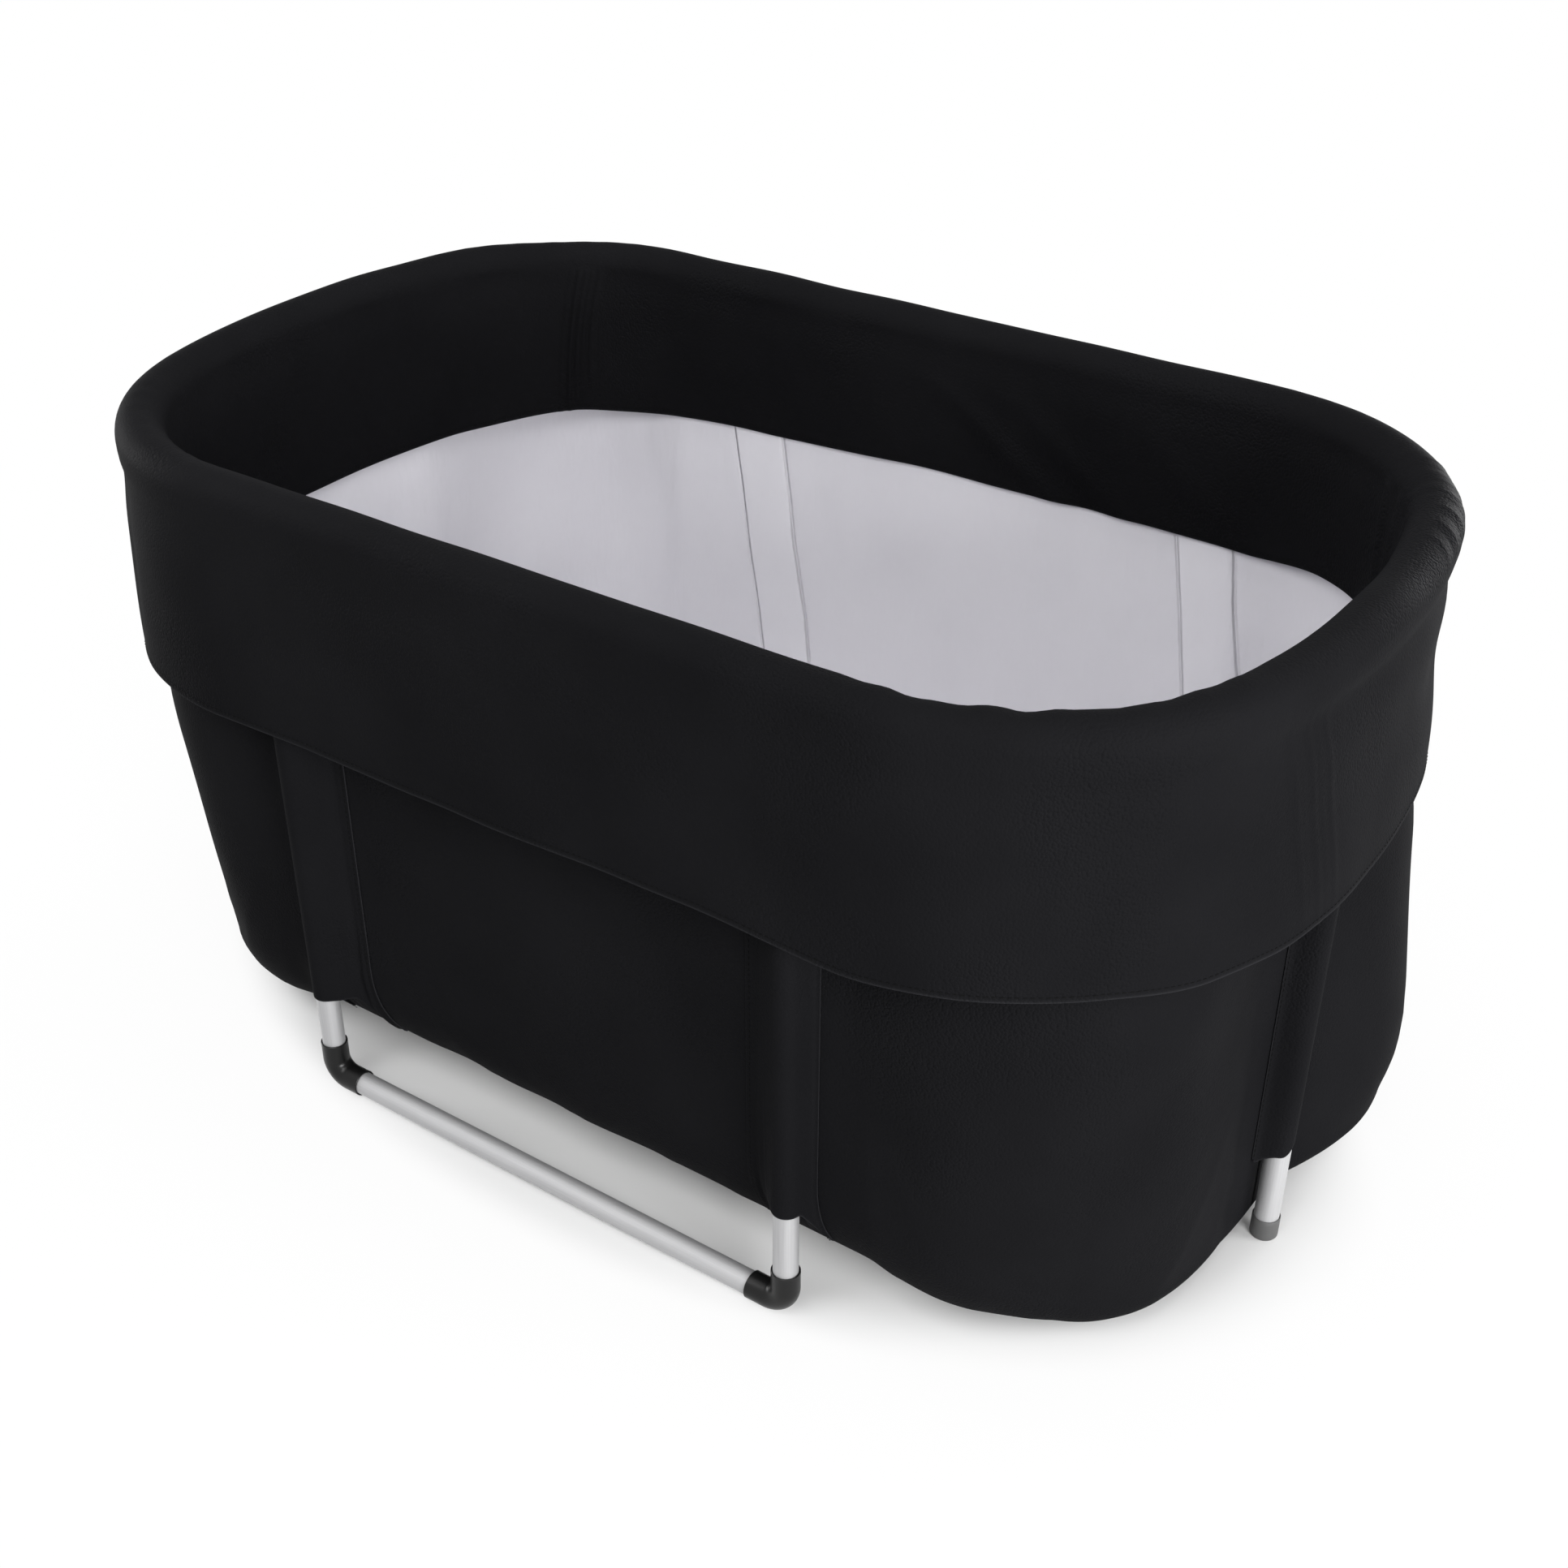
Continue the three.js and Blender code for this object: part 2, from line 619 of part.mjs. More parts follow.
const sleeve_top = tee_bottom - sleeve_top_gap;
const wide_left = [sleeve_wide_wing, sleeve_narrow_wing];
const wide_right = [sleeve_narrow_wing, sleeve_wide_wing];
const wings = {
  front_left: wide_right,
  front_right: wide_left,
  right_end: [sleeve_end_wing, sleeve_end_wing],
  back_right: wide_right,
  back_left: wide_left,
  left_end: [sleeve_end_wing, sleeve_end_wing],
};
for (const [leg, place] of Object.entries(leg_places)) {
  const spot = hoopPlace(place);
  const strip = upright(sleeveShape(...wings[leg]), sleeve_mouth_height, sleeve_top);
  const sleeve = addPart(`leg_sleeve_${leg}`, strip, black_fabric);
  sleeve.position.set(spot.x, spot.y, 0);
  sleeve.rotation.z = Math.atan2(-spot.nx, spot.ny);
}

// Drain: a flanged shank through the layers, a washer and nut outside, and a push-on cap
function turned(profile, sides) {
  return new THREE.LatheGeometry([...profile, profile[0]], sides).rotateZ(-Math.PI / 2);
}

const at = (radius, along) => new THREE.Vector2(radius, along);
const flange_profile = [
  at(shank_bore_radius, flange_face - flange_thickness),
  at(flange_radius, flange_face - flange_thickness),
  at(flange_radius, flange_face),
  at(shank_radius, flange_face),
  at(shank_radius, shank_out),
  at(shank_bore_radius, shank_out),
];
addPart('drain_flange', turned(flange_profile, socket_sides), black_plastic, drain);

const washer_face = -bag_pull_in + layer_gap;
const washer_shape = ringShape(washer_radius, socket_sides, hole_radius);
const washer = drainPiece(washer_shape, washer_face, washer_face + washer_thickness);
addPart('drain_washer', washer, grey_rubber, drain);

const nut_face = washer_face + washer_thickness + layer_gap;
const nut_shape = ringShape(nut_corner_radius, nut_sides, hole_radius, socket_sides);
const nut = drainPiece(nut_shape, nut_face, nut_face + nut_thickness);
addPart('drain_nut', nut, black_plastic, drain);

const cap_low = nut_face + nut_thickness + cap_nut_gap;
const cap_inside = shank_out + layer_gap;
const cap_shape = ringShape(cap_radius, socket_sides);
const cap_bore = drainPiece(ringShape(hole_radius, socket_sides), cap_low - cut_overrun, cap_inside);
const cap_blank = drainPiece(cap_shape, cap_low, cap_inside + cap_end);
addPart('drain_cap', geometryOf(solid(cap_blank).subtract(solid(cap_bore))), black_plastic, drain);

export default tub;
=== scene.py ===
# %% [markdown]
# # An oval ice bath, dressed over its CAD frame
# The tub is a padded hoop of aluminium tube on six legs. A soft bag of black coated
# fabric hangs in the hoop, with a thin foam and a light grey liner inside it. The CAD
# model gives every piece its size and place, and this lesson gives each its real look:
# first the camera and the light, then the finishes, then the pieces from the rim down.

# %% Load the fixed frame
import math

import bmesh
import bpy
import numpy as np
from mathutils import Matrix, Vector


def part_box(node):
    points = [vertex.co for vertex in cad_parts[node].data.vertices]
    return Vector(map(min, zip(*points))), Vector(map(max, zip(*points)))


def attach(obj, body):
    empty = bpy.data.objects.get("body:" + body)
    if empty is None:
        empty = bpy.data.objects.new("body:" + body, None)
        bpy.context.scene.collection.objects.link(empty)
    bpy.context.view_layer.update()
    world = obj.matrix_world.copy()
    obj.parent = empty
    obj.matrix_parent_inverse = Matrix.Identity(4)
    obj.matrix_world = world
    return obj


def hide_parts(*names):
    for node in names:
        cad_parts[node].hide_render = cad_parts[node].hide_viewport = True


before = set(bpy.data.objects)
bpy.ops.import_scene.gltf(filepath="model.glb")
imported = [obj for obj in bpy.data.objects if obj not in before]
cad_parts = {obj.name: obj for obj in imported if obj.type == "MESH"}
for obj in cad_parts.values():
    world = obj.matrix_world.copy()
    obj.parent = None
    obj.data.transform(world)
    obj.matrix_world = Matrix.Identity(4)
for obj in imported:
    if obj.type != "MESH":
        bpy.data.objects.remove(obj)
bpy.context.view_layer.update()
TOP = "tub_top"

# %% [markdown]
# ## The camera
# A product picture like this is taken from about 2.4 m, above and to the front right.
# The lens is a little longer than normal, so the far end hardly shrinks, and a small
# shift moves the picture in its frame without turning the camera.

# %% Set up the camera
CAMERA_PLACE = Vector((1.1270, -1.5560, 1.4870))
CAMERA_AZIMUTH = math.radians(37.10)
CAMERA_ELEVATION = math.radians(35.12)
CAMERA_ROLL = math.radians(-0.97)
CAMERA_LENS = 48.57
CAMERA_FILM = 36
CAMERA_SHIFT = (0.0407, 0.0826)
CAMERA_REACH = 60


def in_scene(name, data):
    """A new object that holds the data, linked to the scene."""
    made = bpy.data.objects.new(name, data)
    bpy.context.scene.collection.objects.link(made)
    return made


camera_data = bpy.data.cameras.new("photo_camera")
camera = in_scene("photo_camera", camera_data)
camera.matrix_world = (
    Matrix.Translation(CAMERA_PLACE)
    @ Matrix.Rotation(CAMERA_AZIMUTH, 4, "Z")
    @ Matrix.Rotation(math.pi / 2 - CAMERA_ELEVATION, 4, "X")
    @ Matrix.Rotation(CAMERA_ROLL, 4, "Z")
)
camera_data.lens = CAMERA_LENS
camera_data.sensor_width = CAMERA_FILM
camera_data.shift_x, camera_data.shift_y = CAMERA_SHIFT
camera_data.clip_end = CAMERA_REACH
bpy.context.scene.camera = camera
print("camera at", tuple(round(v, 3) for v in camera.location))

# %% [markdown]
# ## Shader maths as plain expressions
# A procedural material is a small formula. Wrapping a socket in a class that knows
# plus, minus and times lets the formula be read as one, and a single method makes
# every other node, so each finish below is a few lines.


# %% Wrap a socket
class Value:
    """A socket in a tree of nodes; sums and products of it add Math nodes."""

    def __init__(self, tree, socket):
        self.tree = tree
        self.socket = socket

    def maths(self, operation, first, second):
        return self.tree.node("ShaderNodeMath", {0: first, 1: second}, operation=operation)

    def __add__(self, other):
        return self.maths("ADD", self, other)

    __radd__ = __add__

    def __sub__(self, other):
        return self.maths("SUBTRACT", self, other)

    def __rsub__(self, other):
        return self.maths("SUBTRACT", other, self)

    def __mul__(self, other):
        return self.maths("MULTIPLY", self, other)

    __rmul__ = __mul__

    def __pow__(self, other):
        return self.maths("POWER", self, other)

    def __abs__(self):
        return self.maths("ABSOLUTE", self, 0.0)


print("values know plus, minus, times, power and absolute")


# %% Make nodes and finishes
class Tree:
    """A tree of nodes, made node by node."""

    def __init__(self, nodes_of):
        self.inside = nodes_of
        self.inside.nodes.clear()

    def node(self, kind, inputs=None, output=0, **settings):
        """A node of a kind: its settings first, then the values or links of its sockets."""
        made = self.inside.nodes.new(kind)
        for name, value in settings.items():
            setattr(made, name, value)
        for key, value in (inputs or {}).items():
            if isinstance(value, Value):
                self.inside.links.new(value.socket, made.inputs[key])
            else:
                made.inputs[key].default_value = value
        return Value(self, made.outputs[output]) if len(made.outputs) else None


class Finish(Tree):
    """A procedural material, or the world's own look."""

    def __init__(self, name, owner=None):
        self.owner = owner or bpy.data.materials.new(name)
        self.owner.use_nodes = True
        super().__init__(self.owner.node_tree)

    def place(self, scale=(1, 1, 1)):
        """Object coordinates in metres, stretched where a grain runs one way."""
        where = self.node("ShaderNodeTexCoord", output="Object")
        return self.node("ShaderNodeMapping", {"Vector": where, "Scale": scale})

    def noise(self, where, scale, detail=2.0, roughness=0.5):
        return self.node("ShaderNodeTexNoise", {
            "Vector": where, "Scale": scale, "Detail": detail, "Roughness": roughness})

    def step(self, value, low, high, low_result=0.0, high_result=1.0):
        """A soft step from one result, where the value is low, to the other."""
        return self.node("ShaderNodeMapRange", {
            "Value": value, "From Min": low, "From Max": high,
            "To Min": low_result, "To Max": high_result}, interpolation_type="SMOOTHSTEP")

    def light_path(self):
        """1 for what the camera sees, itself or in metal and glass, and 0 for light."""
        rays = ("Is Camera Ray", "Is Glossy Ray", "Is Transmission Ray")
        return sum(self.node("ShaderNodeLightPath", output=ray) for ray in rays)

    def blend_colour(self, share, low, high):
        return self.node("ShaderNodeMix", {0: share, 6: low, 7: high}, 2, data_type="RGBA")

    def bump(self, height, depth, under=None):
        inputs = {"Height": height, "Distance": depth, "Strength": 1.0}
        if under is not None:
            inputs["Normal"] = under
        return self.node("ShaderNodeBump", inputs)

    def surface(self, colour, roughness, normal, specular=0.5, metallic=0.0):
        shader = self.node("ShaderNodeBsdfPrincipled", {
            "Base Color": colour, "Roughness": roughness, "Normal": normal,
            "Specular IOR Level": specular, "Metallic": metallic})
        self.node("ShaderNodeOutputMaterial", {"Surface": shader})
        return self.owner


def grey(level, tint=0.0):
    """A grey in linear light, a little bluer where tint is above 0."""
    return (level, level, level * (1 + tint), 1)


print("a middle grey is", grey(0.5))

# %% [markdown]
# ## The black coated fabric
# The bag and the cover are a fabric with a soft plastic coat, pressed with a leather
# grain: domed pebbles about 2.5 mm across with fine valleys between them. Voronoi
# cells in object space give the pebbles, so they keep their size on every panel. The
# grain is pressed deeper in some places than in others. The coat is nearly black, with a
# painted highlight along its hems and cut edges, which an "edge" attribute of the mesh marks.

# %% Make the coated fabric and its thread
GRAIN_CELLS = 400
GRAIN_DEPTH = 0.00045
# The third coat colour is a painted highlight for hems and cut edges.
COAT_DARK, COAT_LIGHT, COAT_EDGE_HIGHLIGHT = grey(0.0030, 0.15), grey(0.0070, 0.11), grey(0.0150, 0.10)
COAT_SHEEN, THREAD_SHEEN = 0.008, 0.02
EDGE_FADE, EDGE_HIGHLIGHT_SHARE = 7, 0.8


def make_coated_fabric():
    finish = Finish("black_coated_fabric")
    where = finish.place()
    cells = {"Vector": where, "Scale": GRAIN_CELLS, "Smoothness": 0.35, "Randomness": 0.9}
    pebble = finish.node("ShaderNodeTexVoronoi", cells, feature="SMOOTH_F1")
    dome = 1 - pebble * pebble * 1.6
    weave = finish.noise(where, 1400, 1.0)
    cloud = finish.noise(where, 5.0, 3.0)
    handled = finish.noise(where, 21.0, 2.0)
    fabric = finish.blend_colour(cloud, COAT_DARK, COAT_LIGHT)
    # Painted highlight: the coat turns paler on the hems and cut edges that the edge attribute
    # marks, in place of the light a rolled edge catches.
    edge = finish.node("ShaderNodeAttribute", output="Fac", attribute_name="edge")
    colour = finish.blend_colour(edge ** EDGE_FADE * EDGE_HIGHLIGHT_SHARE, fabric, COAT_EDGE_HIGHLIGHT)
    pressed = finish.step(finish.noise(where, 6.5, 1.0), 0.44, 0.66, 0.40, 1.35)
    height = (dome - 0.6) * pressed + weave * 0.25
    rough = 0.48 + cloud * 0.10 + handled * 0.10 + pebble * 0.06
    return finish.surface(colour, rough, finish.bump(height, GRAIN_DEPTH), COAT_SHEEN)


def make_thread():
    finish = Finish("black_thread")
    twist = finish.noise(finish.place(), 2600, 1.0)
    colour = finish.blend_colour(twist, grey(0.0022), grey(0.0050))
    return finish.surface(colour, 0.6, finish.bump(twist, 0.0001), THREAD_SHEEN)


coated_fabric = make_coated_fabric()
thread = make_thread()
print("finishes:", coated_fabric.name, thread.name)

# %% [markdown]
# ## The other finishes
# The liner is a smooth light film with faint crinkles. The tubes are drawn aluminium
# with fine lines along their length, so their noise is squeezed along one axis. The
# fittings are fine-grained moulded plastic, the feet matt rubber, and the hidden
# padding is foam with open cells.


# %% Make the liner, metal, plastic, rubber and foam
LAP_LEAN = 0.15
LAP_HEIGHT = 0.53
LAP_EDGES = {"left": (-0.279, -0.209), "right": (0.294, 0.358)}
LAP_LINE = 0.0032
FILM_DARK, FILM_LIGHT = (0.590, 0.580, 0.616, 1), (0.670, 0.662, 0.694, 1)
LINES, ALONG_LINES = 900, 14
FOAM_CELLS = 700


def lap_lines(finish, wander):
    """The lapped bands of the liner (1 inside a band) and the grooves along their edges."""
    spot = finish.node("ShaderNodeTexCoord", output="Object")
    x, z = (finish.node("ShaderNodeSeparateXYZ", {0: spot}, axis) for axis in (0, 2))
    upright = x + (z - LAP_HEIGHT) * LAP_LEAN + wander
    band, groove = 0.0, 0.0
    for left, right in LAP_EDGES.values():
        middle, half = (left + right) / 2, (right - left) / 2
        off = abs(upright - middle)
        band = band + finish.step(off, half + LAP_LINE, half - LAP_LINE)
        groove = groove + finish.step(abs(off - half), LAP_LINE, 0.0)
    return band, groove


def make_liner_film():
    finish = Finish("grey_liner_film")
    where = finish.place()
    cloud = finish.noise(where, 4.5, 3.0)
    mottle = finish.noise(where, 60.0, 2.0)
    film = finish.noise(where, 900.0, 1.0)
    crease = finish.noise(finish.place((1.0, 1.0, 0.35)), 14.0, 4.0, 0.62)
    band, groove = lap_lines(finish, (finish.noise(where, 9.0, 1.0) - 0.5) * 0.008)
    # Painted shade: the film's colour is darker along the grooves beside each lapped band. The
    # bands are a little lighter, where the film is double.
    share = cloud * 0.6 + mottle * 0.2 + band * 0.28 - groove * 0.42
    colour = finish.blend_colour(share, FILM_DARK, FILM_LIGHT)
    soft = finish.bump(crease, 0.0050)
    laps = finish.bump(band * 0.6 - groove, 0.0022, soft)
    return finish.surface(colour, 0.42 + mottle * 0.14, finish.bump(film, 0.00006, laps), 0.45)


def make_aluminium(name, stretch):
    """Drawn tube: the lines are long where stretch is small."""
    finish = Finish(name)
    lines = finish.noise(finish.place(stretch), 1.0, 3.0, 0.6)
    haze = finish.noise(finish.place(), 16.0, 2.0)
    colour = finish.blend_colour(lines, grey(0.33, 0.02), grey(0.45, 0.01))
    rough = 0.64 + lines * 0.10 + haze * 0.08
    return finish.surface(colour, rough, finish.bump(lines, 0.00005), metallic=1.0)


def make_moulded(name, low, high, roughness, grain, depth, sheen=0.5):
    finish = Finish(name)
    where = finish.place()
    skin = finish.noise(where, grain, 2.0)
    cloud = finish.noise(where, 30.0, 2.0)
    colour = finish.blend_colour(cloud, grey(low), grey(high))
    return finish.surface(colour, roughness + cloud * 0.10, finish.bump(skin, depth), sheen)


def make_foam(name, low, high):
    finish = Finish(name)
    cell = finish.node("ShaderNodeTexVoronoi", {"Vector": finish.place(), "Scale": FOAM_CELLS})
    colour = finish.blend_colour(cell, grey(low), grey(high))
    return finish.surface(colour, 0.9, finish.bump(cell, 0.0003))


liner_film = make_liner_film()
aluminium_upright = make_aluminium("aluminium_upright", (LINES, LINES, ALONG_LINES))
aluminium_rail = make_aluminium("aluminium_rail", (ALONG_LINES, LINES, LINES))
black_plastic = make_moulded("black_plastic", 0.0035, 0.0065, 0.26, 1800, 0.00005, 0.20)
grey_rubber = make_moulded("grey_rubber", 0.040, 0.056, 0.62, 2200, 0.00008)
white_foam = make_foam("white_foam", 0.62, 0.76)
black_foam = make_foam("black_foam", 0.015, 0.030)
print("finishes:", len(bpy.data.materials))

# %% [markdown]
# ## The plan of the hoop
# Seen from above, the hoop is a rounded oval: straight sides, a corner arc and a
# flatter arc across each end, each tangent to the next. Everything soft on the tub is
# measured along this line, so one function turns a distance round the hoop into a
# point and an outward direction. Distances start at the front middle and run
# anticlockwise.

# %% Measure along the hoop
HOOP_HALF_LENGTH = 0.625
HOOP_HALF_WIDTH = 0.369
HOOP_HEIGHT = 0.681
TUBE_RADIUS = 0.0125
CORNER_RADIUS = 0.250
END_RADIUS = 0.800
SIDE_LEG = 0.300

END_CENTRE = HOOP_HALF_LENGTH - END_RADIUS
CORNER_Y = HOOP_HALF_WIDTH - CORNER_RADIUS
CORNER_X = END_CENTRE + math.sqrt((END_RADIUS - CORNER_RADIUS) ** 2 - CORNER_Y**2)
END_ANGLE = math.asin(CORNER_Y / (END_RADIUS - CORNER_RADIUS))
CORNER_ARC = (math.pi / 2 - END_ANGLE) * CORNER_RADIUS
QUARTER = CORNER_X + CORNER_ARC + END_ANGLE * END_RADIUS
WHOLE = 4 * QUARTER
LEG_PLACES = {
    "front_left": -SIDE_LEG,
    "front_right": SIDE_LEG,
    "right_end": QUARTER,
    "back_right": 2 * QUARTER - SIDE_LEG,
    "back_left": 2 * QUARTER + SIDE_LEG,
    "left_end": 3 * QUARTER,
}


def hoop_place(distance):
    """Points (x, y) on the hoop and their outward directions, for an array of distances."""
    along = np.mod(np.asarray(distance, float), WHOLE)
    quarter = np.minimum(along // QUARTER, 3)
    past = along - quarter * QUARTER
    near = np.where(quarter % 2 == 0, past, QUARTER - past)
    turn = -math.pi / 2 + np.clip(near - CORNER_X, 0, CORNER_ARC) / CORNER_RADIUS
    turn = turn + np.clip(near - CORNER_X - CORNER_ARC, 0, None) / END_RADIUS
    on_corner = near <= CORNER_X + CORNER_ARC
    radius = np.where(on_corner, CORNER_RADIUS, END_RADIUS)
    centre_x = np.where(near <= CORNER_X, near, np.where(on_corner, CORNER_X, END_CENTRE))
    centre_y = np.where(on_corner, -CORNER_Y, 0.0)
    flip_x = np.where(quarter >= 2, -1.0, 1.0)
    flip_y = np.where((quarter == 1) | (quarter == 2), -1.0, 1.0)
    outward = np.stack([np.cos(turn) * flip_x, np.sin(turn) * flip_y], -1)
    point = np.stack([
        (centre_x + radius * np.cos(turn)) * flip_x,
        (centre_y + radius * np.sin(turn)) * flip_y,
    ], -1)
    return point, outward


def hoop_points(stations, offsets, heights):
    """A grid of points: one row of sections at the stations, each with offsets and heights."""
    point, outward = hoop_place(stations)
    grid = np.empty(offsets.shape + (3,))
    grid[..., :2] = point[:, None, :] + outward[:, None, :] * offsets[..., None]
    grid[..., 2] = heights
    return grid


print("hoop length", round(WHOLE, 3), "m; corner starts at x", round(CORNER_X, 3))

# %% [markdown]
# ## Meshes from rows of sections
# Cloth has two faces and a rounded edge. It is easiest to lay out its outer face as a
# grid of points, step inwards along the normals for the inner face, and join the two
# by a half-round edge. Each section is then one closed loop, and a loft through the
# loops is a closed skin with its faces outwards.

# %% Build closed skins of cloth
EDGE_STEPS = 3
ROUND_SIDES = 48


def piece_from(name, points, faces, material):
    mesh = bpy.data.meshes.new(name)
    mesh.from_pydata([tuple(p) for p in points], [], faces)
    mesh.validate()
    mesh.polygons.foreach_set("use_smooth", [True] * len(mesh.polygons))
    mesh.materials.append(material)
    return in_scene(name, mesh)


def join(made, body, node):
    """Parents a piece to its moving body and hides the CAD solid it stands for."""
    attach(made, body)
    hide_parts(node)


def unit(vectors):
    return vectors / np.maximum(np.linalg.norm(vectors, axis=-1, keepdims=True), 1e-12)


def grid_normals(grid, ring):
    """Outward normals of a grid whose rows run along the hoop and columns up the cloth."""
    if ring:
        along = np.roll(grid, -1, 0) - np.roll(grid, 1, 0)
    else:
        along = np.gradient(grid, axis=0)
    return unit(np.cross(along, np.gradient(grid, axis=1)))


def cloth_loops(grid, thickness, ring):
    """Closed section loops: outer face, round edge, inner face, round edge."""
    normals = grid_normals(grid, ring)
    inner = grid - normals * thickness
    loops = [grid]
    for end, sign in ((-1, 1), (0, -1)):
        middle = (grid[:, end] + inner[:, end]) / 2
        outwards = unit(grid[:, end] - grid[:, -2 if end else 1]) * thickness / 2
        facing = normals[:, end] * thickness / 2 * sign
        cap = []
        for step in range(1, EDGE_STEPS + 1):
            turn = math.pi * step / (EDGE_STEPS + 1)
            cap.append(middle + facing * math.cos(turn) + outwards * math.sin(turn))
        loops.append(np.stack(cap, 1))
        if end:
            loops.append(inner[:, ::-1])
    return np.concatenate(loops, 1)


def loft(name, loops, material, ring=False, rows=0):
    """Skin through closed loops; an open row of them gets its two ends filled.

    A cloth section has a number of rows on each face. Without rows an end is one face.
    """
    count, size = loops.shape[:2]
    index = np.arange(count * size).reshape(count, size)
    ahead = np.roll(index, -1, 0) if ring else index[1:]
    here = index if ring else index[:-1]
    quads = np.stack([here, ahead, np.roll(ahead, -1, 1), np.roll(here, -1, 1)], -1)
    faces = quads.reshape(-1, 4).tolist()
    if not ring:
        for end, forward in ((index[0], True), (index[-1], False)):
            faces += end_faces(end.tolist(), rows, forward)
    return piece_from(name, loops.reshape(-1, 3), faces, material)


def end_faces(end, rows, forward):
    """Fills a cloth section: quads between its two faces and one face at each edge."""
    faces = [end]
    if rows:
        inner_first = rows + EDGE_STEPS
        inner = [end[inner_first + rows - 1 - j] for j in range(rows)]
        faces = [[end[j], end[j + 1], inner[j + 1], inner[j]] for j in range(rows - 1)]
        faces.append(end[rows - 1:inner_first + 1])
        faces.append(end[inner_first + rows - 1:] + [end[0]])
    return faces if forward else [face[::-1] for face in faces]


def cloth(name, grid, thickness, material, ring):
    """A piece of cloth from its outer face, with an edge attribute on its hems and cut edges."""
    loops = cloth_loops(grid, thickness, ring)
    made = loft(name, loops, material, ring, grid.shape[1])
    # The edge attribute marks hems and cut edges, where the coated fabric paints a highlight.
    edge_highlight_mask = np.zeros(loops.shape[:2])
    edge_highlight_mask[:, 0] = edge_highlight_mask[:, grid.shape[1] - 1:grid.shape[1] + EDGE_STEPS] = 1
    edge_highlight_mask[:, -EDGE_STEPS:] = 1
    if not ring:
        edge_highlight_mask[[0, -1]] = 1
    edge = made.data.attributes.new("edge", "FLOAT", "POINT")
    edge.data.foreach_set("value", edge_highlight_mask.ravel())
    return made


def grid_area(grid, ring):
    wrapped = np.concatenate([grid, grid[:1]], 0) if ring else grid
    first = wrapped[1:, :-1] - wrapped[:-1, :-1]
    second = wrapped[:-1, 1:] - wrapped[:-1, :-1]
    return float(np.linalg.norm(np.cross(first, second), axis=-1).sum())


print("cloth builders ready")


# %% Turn round parts
def turned(name, profile, material, sides=ROUND_SIDES, flat_angle=40):
    """A closed profile of (radius, height) points turned about Z.

    The profile can be a function of the angle, as for a nut or a ribbed cap.
    """
    loops = []
    for angle in np.arange(sides) * 2 * math.pi / sides:
        points = profile(angle) if callable(profile) else profile
        loops.append([(r * math.cos(angle), r * math.sin(angle), z) for r, z in points])
    made = loft(name, np.array(loops), material, True)
    mend_skin(made, flat_angle)
    return made


def mend_skin(made, flat_angle=40):
    """Merges points that fall together at a pole, faces everything outwards, shades edges."""
    skin = bmesh.new()
    skin.from_mesh(made.data)
    bmesh.ops.remove_doubles(skin, verts=skin.verts, dist=1e-6)
    bmesh.ops.recalc_face_normals(skin, faces=skin.faces)
    for edge in skin.edges:
        edge.smooth = not (edge.is_manifold and edge.calc_face_angle(0) > math.radians(flat_angle))
    skin.to_mesh(made.data)
    skin.free()


def put(made, matrix):
    """Places a finished mesh by moving its points, so its object stays at the origin."""
    made.data.transform(matrix)
    return made


print("round parts have", ROUND_SIDES, "sides")

# %% [markdown]
# ## Folds in cloth
# Hanging cloth is never plain. Broad swells come from a few long waves of different
# length and slope added together, and a crease is a narrow ridge that follows a
# leaning line and fades out at both ends. Both are added along the normals before the
# cloth gets its thickness.

# %% Swells and creases
folds = np.random.default_rng(7)


def swells(along, up, wavelength, count):
    """A smooth field between about -1 and 1 that closes on itself round the hoop."""
    total = np.zeros(np.broadcast(along, up).shape)
    for _ in range(count):
        turns = max(1, round(WHOLE / (wavelength * folds.uniform(0.7, 1.6))))
        slope = folds.uniform(-1, 1) * 2 * math.pi / (wavelength * 1.6)
        phase = folds.uniform(0, 2 * math.pi)
        total = total + np.sin(2 * math.pi * turns * along / WHOLE + slope * up + phase)
    return total / math.sqrt(count * 2)


def apart(along, centre):
    """Signed distance round the hoop from a centre, the short way."""
    return np.mod(along - centre + WHOLE / 2, WHOLE) - WHOLE / 2


def crease(along, up, centre, low, high, depth, width, lean=0.0, bend=0.0):
    """One ridge (or groove, if depth is below 0) from a low to a high height."""
    share = np.clip((up - low) / (high - low), 0, 1)
    line = centre + lean * (up - high) + bend * np.sin(share * math.pi)
    return depth * np.exp(-((apart(along, line) / width) ** 2)) * np.sin(math.pi * share) ** 0.6


def ramp(value, start, end):
    """0 at the start and 1 at the end, eased at both. The end can lie below the start."""
    share = np.clip((value - start) / (end - start), 0, 1)
    return share * share * (3 - 2 * share)


def round_hoop(along, anchors):
    """A value that changes smoothly round the hoop between (distance, value) anchors."""
    places, values = np.array(sorted((place % WHOLE, value) for place, value in anchors)).T
    places = np.concatenate([places[-1:] - WHOLE, places, places[:1] + WHOLE])
    values = np.concatenate([values[-1:], values, values[:1]])
    where = np.mod(along, WHOLE)
    i = np.clip(np.searchsorted(places, where, side="right") - 1, 0, len(places) - 2)
    share = ramp(where, places[i], places[i + 1])
    return values[i] + share * (values[i + 1] - values[i])


RIGHT_END = QUARTER
LEFT_END = 3 * QUARTER
BACK = 2 * QUARTER
print("folds are seeded")

# %% [markdown]
# ## The padded rim and its two skirts
# One long strip of the coated fabric is wrapped over the padded hoop. Outside it
# hangs as a deep collar, inside as a shorter band, and both end in a sewn hem. The
# fabric is pulled tight over the roll on the straight sides. Round the corners the
# inside of the roll is shorter than the outside, so it gathers in small wrinkles.

